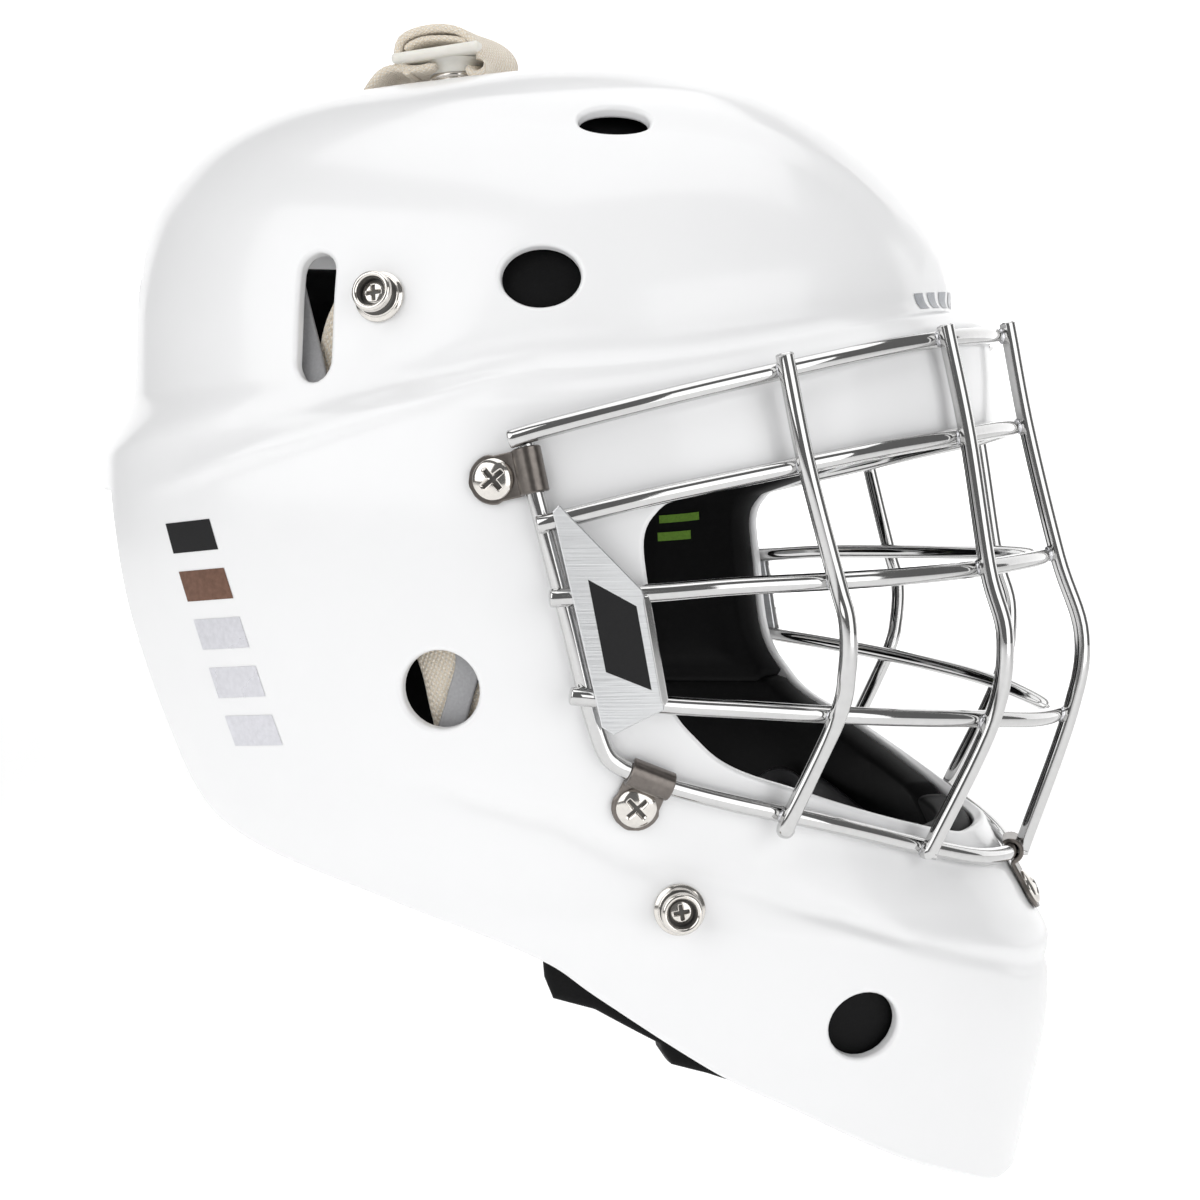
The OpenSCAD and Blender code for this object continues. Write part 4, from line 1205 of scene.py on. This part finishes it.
def angle_patch(name, t0, t1, a0, a1, mat, slant=0.0):
    points, norms = [], []
    for i in range(7):
        for j in range(7):
            t = t0 + (t1 - t0) * i / 6
            a = a0 + (a1 - a0) * j / 6 + slant * (i / 6 - 0.5)
            one = np.array([t]), np.array([a])
            n = face_normal(*one)[0]
            points.append(face_skin(*one)[0] + n * 0.12)
            norms.append(n)
    faces = [[i * 7 + j, (i + 1) * 7 + j, (i + 1) * 7 + j + 1, i * 7 + j + 1]
             for i in range(6) for j in range(6)]
    mesh_piece(name, points, faces, mat, slot="shell_gloss", normals=norms)


for k, a in enumerate((-14.5, -10.5, -6.5, -2.5, 2.5, 6.5, 10.5, 14.5)):
    angle_patch(f"brow_mark_{k + 1}", 5.66, 5.93, a - 1.3, a + 1.3, FOIL, 0.8)

# ---------------------------------------------------------------- chin cup
CUP_PATH = [[51, -59.3, -68.5], [60, -53.5, -73], [74, -37, -80], [82, -18, -84], [84, 0, -85]]
CUP_MIDDLE = np.array([45, 0, -72])
CUP_PIVOT = np.array([45.0, 60.0, -66.0])
cup_route = mirror_path(CUP_PATH)
cup_along = unit(np.gradient(cup_route, axis=0))
cup_out = cup_route - CUP_MIDDLE
cup_across = np.cross(cup_along, cup_out)
webbing("chin_cup_band", cup_route, cup_across, 24, 3.0, CUP, "chin_cup", "cup_plastic",
        ["chin_cup"])
for side in (-1, 1):
    disc = lathe([[2.9, -1.5], [8.4, -1.5], [8.8, -1.3], [9, -0.9], [9, 0.9], [8.8, 1.3],
                  [8.4, 1.5], [2.9, 1.5]], CUP_PIVOT * [1, side, 1], [0, side, 0])
    sharp_edges(mesh_piece("chin_cup_ear_" + ("right" if side < 0 else "left"), *disc, CUP,
                           "chin_cup", "cup_plastic"), 50)
for k, (t, a0, a1) in enumerate(((7.60, 70, 79), (7.75, 72, 79.5))):
    tt, aa = np.meshgrid(np.linspace(t, t + 0.07, 4), np.linspace(a0, a1, 12), indexing="ij")
    deep = skin(tt, aa) + pad_direction(tt, aa) * (FAR + 0.25)
    grid = deep.reshape(-1, 3)
    faces = [[i * 12 + j, i * 12 + j + 1, (i + 1) * 12 + j + 1, (i + 1) * 12 + j]
             for i in range(3) for j in range(11)]
    mesh_piece(f"temple_print_{k + 1}", grid, faces, GREEN, slot="black_foam")

# ---------------------------------------------------------------- side plates
PLATE = [[0, 28.3], [1.5, 29.9], [20.9, 10], [22.1, 7], [26.2, -16], [26.2, -18.3],
         [14.4, -24], [11.5, -22.3]]
turn = math.radians(18.7)
plate_u, plate_n = np.array([math.cos(turn), math.sin(turn), 0]), \
    np.array([math.sin(turn), -math.cos(turn), 0])
plate_o = np.array([13.0, -107.0, 0.0])


def shrink(outline, amount):
    """Moves a convex outline's sides inward."""
    q = np.array(outline, float)
    if sum(a[0] * b[1] - a[1] * b[0] for a, b in zip(q, np.roll(q, -1, 0))) < 0:
        q = q[::-1]
    out = []
    for a, b, c in zip(np.roll(q, 1, 0), q, np.roll(q, -1, 0)):
        e, f = unit(b - a), unit(c - b)
        n, m = np.array([-e[1], e[0]]), np.array([-f[1], f[0]])
        out.append(b + amount * (n + m) / (1 + n @ m))
    return np.array(out)


def plate_solid(outline, low, high, edge):
    """A flat plate with softened edges, between two heights over the plate plane."""
    rings = []
    for inset, h in ((edge, low), (0, low + edge), (0, high - edge), (edge, high)):
        q = shrink(outline, inset)
        rings.append(plate_o + q[:, :1] * plate_u + np.array([0, 0, 1.0]) * q[:, 1:]
                     + plate_n * h)
    return rings_to_mesh(rings)


for piece in pair("side_plate", plate_solid(PLATE, 0.0, 1.4, 0.25), BRUSHED, "brushed_plate",
                  ["cage_plate_right", "cage_plate_left"]):
    sharp_edges(piece, 30)
FOLD = [[21.4, 8.6], [22.3, 8.6], [22.1 + 0.9, 7], [27.1, -16], [26.2, -17.4], [25.4, -16],
        [21.3, 7]]
for piece in pair("plate_fold", plate_solid(FOLD, 1.2, 2.0, 0.2), CHROME, "brushed_plate", []):
    sharp_edges(piece, 30)
MARK = [[8.2, 12.5], [19.6, 6.2], [23.2, -13.6], [12.4, -9.2]]
for piece in pair("plate_mark", plate_solid(MARK, 1.36, 1.48, 0.03), INK, "brushed_plate", []):
    sharp_edges(piece, 30)

# ---------------------------------------------------------------- carried-over nodes
FINISH = {
    "cage_plate": (BRUSHED, "brushed_plate"), "clip_screws": (NICKEL, "screw_nickel"),
    "clip_": (CLIP, "clip_steel"), "snap_stud": (NICKEL, "stud_nickel"),
    "stud_screws": (NICKEL, "screw_nickel"), "fastener_nuts": (ZINC, "nut_steel"),
    "chin_cup_rivets": (NICKEL, "stud_nickel"), "chin_cup": (CUP, "cup_plastic"),
    "back_plate_foam": (FOAM, "black_foam"), "back_plate": (PLATE_GLOSS, "back_plate_gloss"),
    "strap_slider": (SLIDER, "slider_plastic"), "side_strap": (COTTON, "strap_cotton"),
    "crown_strap": (COTTON, "strap_cotton"),
}
for name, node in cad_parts.items():
    if node.hide_render:
        continue
    finish, slot = next(((m, s) for key, (m, s) in FINISH.items() if name.startswith(key)),
                        (FOAM, "black_foam"))
    node.data.materials.clear()
    node.data.materials.append(finish)
    node.data.polygons.foreach_set("material_index", [0] * len(node.data.polygons))


# ---------------------------------------------------------------- stage
def plane(name, corners, mat):
    mesh = bpy.data.meshes.new(name)
    mesh.from_pydata(corners, [], [[0, 1, 2, 3]])
    obj = bpy.data.objects.new(name, mesh)
    bpy.context.scene.collection.objects.link(obj)
    mesh.materials.append(mat)


def area_light(name, position, size, power):
    """A square light aimed at the origin."""
    data = bpy.data.lights.new(name, "AREA")
    data.shape = "RECTANGLE"
    data.size = data.size_y = size
    data.energy = power
    lamp = bpy.data.objects.new(name, data)
    bpy.context.scene.collection.objects.link(lamp)
    lamp.location = position
    lamp.rotation_euler = (-Vector(position)).to_track_quat("-Z", "Y").to_euler()


def glowing(name, grey, rough, glow):
    """A matt surface that gives off a little light of its own."""
    mat = bpy.data.materials.new(name)
    mat.use_nodes = True
    set_inputs(mat.node_tree.nodes["Principled BSDF"], {
        "Base Color": (grey, grey, grey, 1), "Roughness": rough,
        "Emission Color": (1, 1, 1, 1), "Emission Strength": glow})
    return mat


pale = glowing("pale_floor", 0.8, 0.9, 0.42)
screen = glowing("pale_backdrop", 0.9, 1.0, 0.9)
plane("floor", [(-5, -3, -0.32), (5, -3, -0.32), (5, 3, -0.32), (-5, 3, -0.32)], pale)
plane("backdrop", [(-5, 3, -0.32), (5, 3, -0.32), (5, 3, 3), (-5, 3, 3)], screen)
world = bpy.data.worlds.new("studio")
world.use_nodes = True
set_inputs(world.node_tree.nodes["Background"], {"Color": (1.0, 1.0, 1.0, 1), "Strength": 0.17})
bpy.context.scene.world = world
bpy.context.scene.view_settings.view_transform = "Standard"
bpy.context.scene.view_settings.look = "None"
area_light("key", (-1.1, -1.4, 0.9), 1.9, 20)
area_light("side", (1.4, -1.1, 0.3), 1.5, 12)
area_light("top", (0.1, 0.1, 1.5), 1.6, 13)
make_camera()
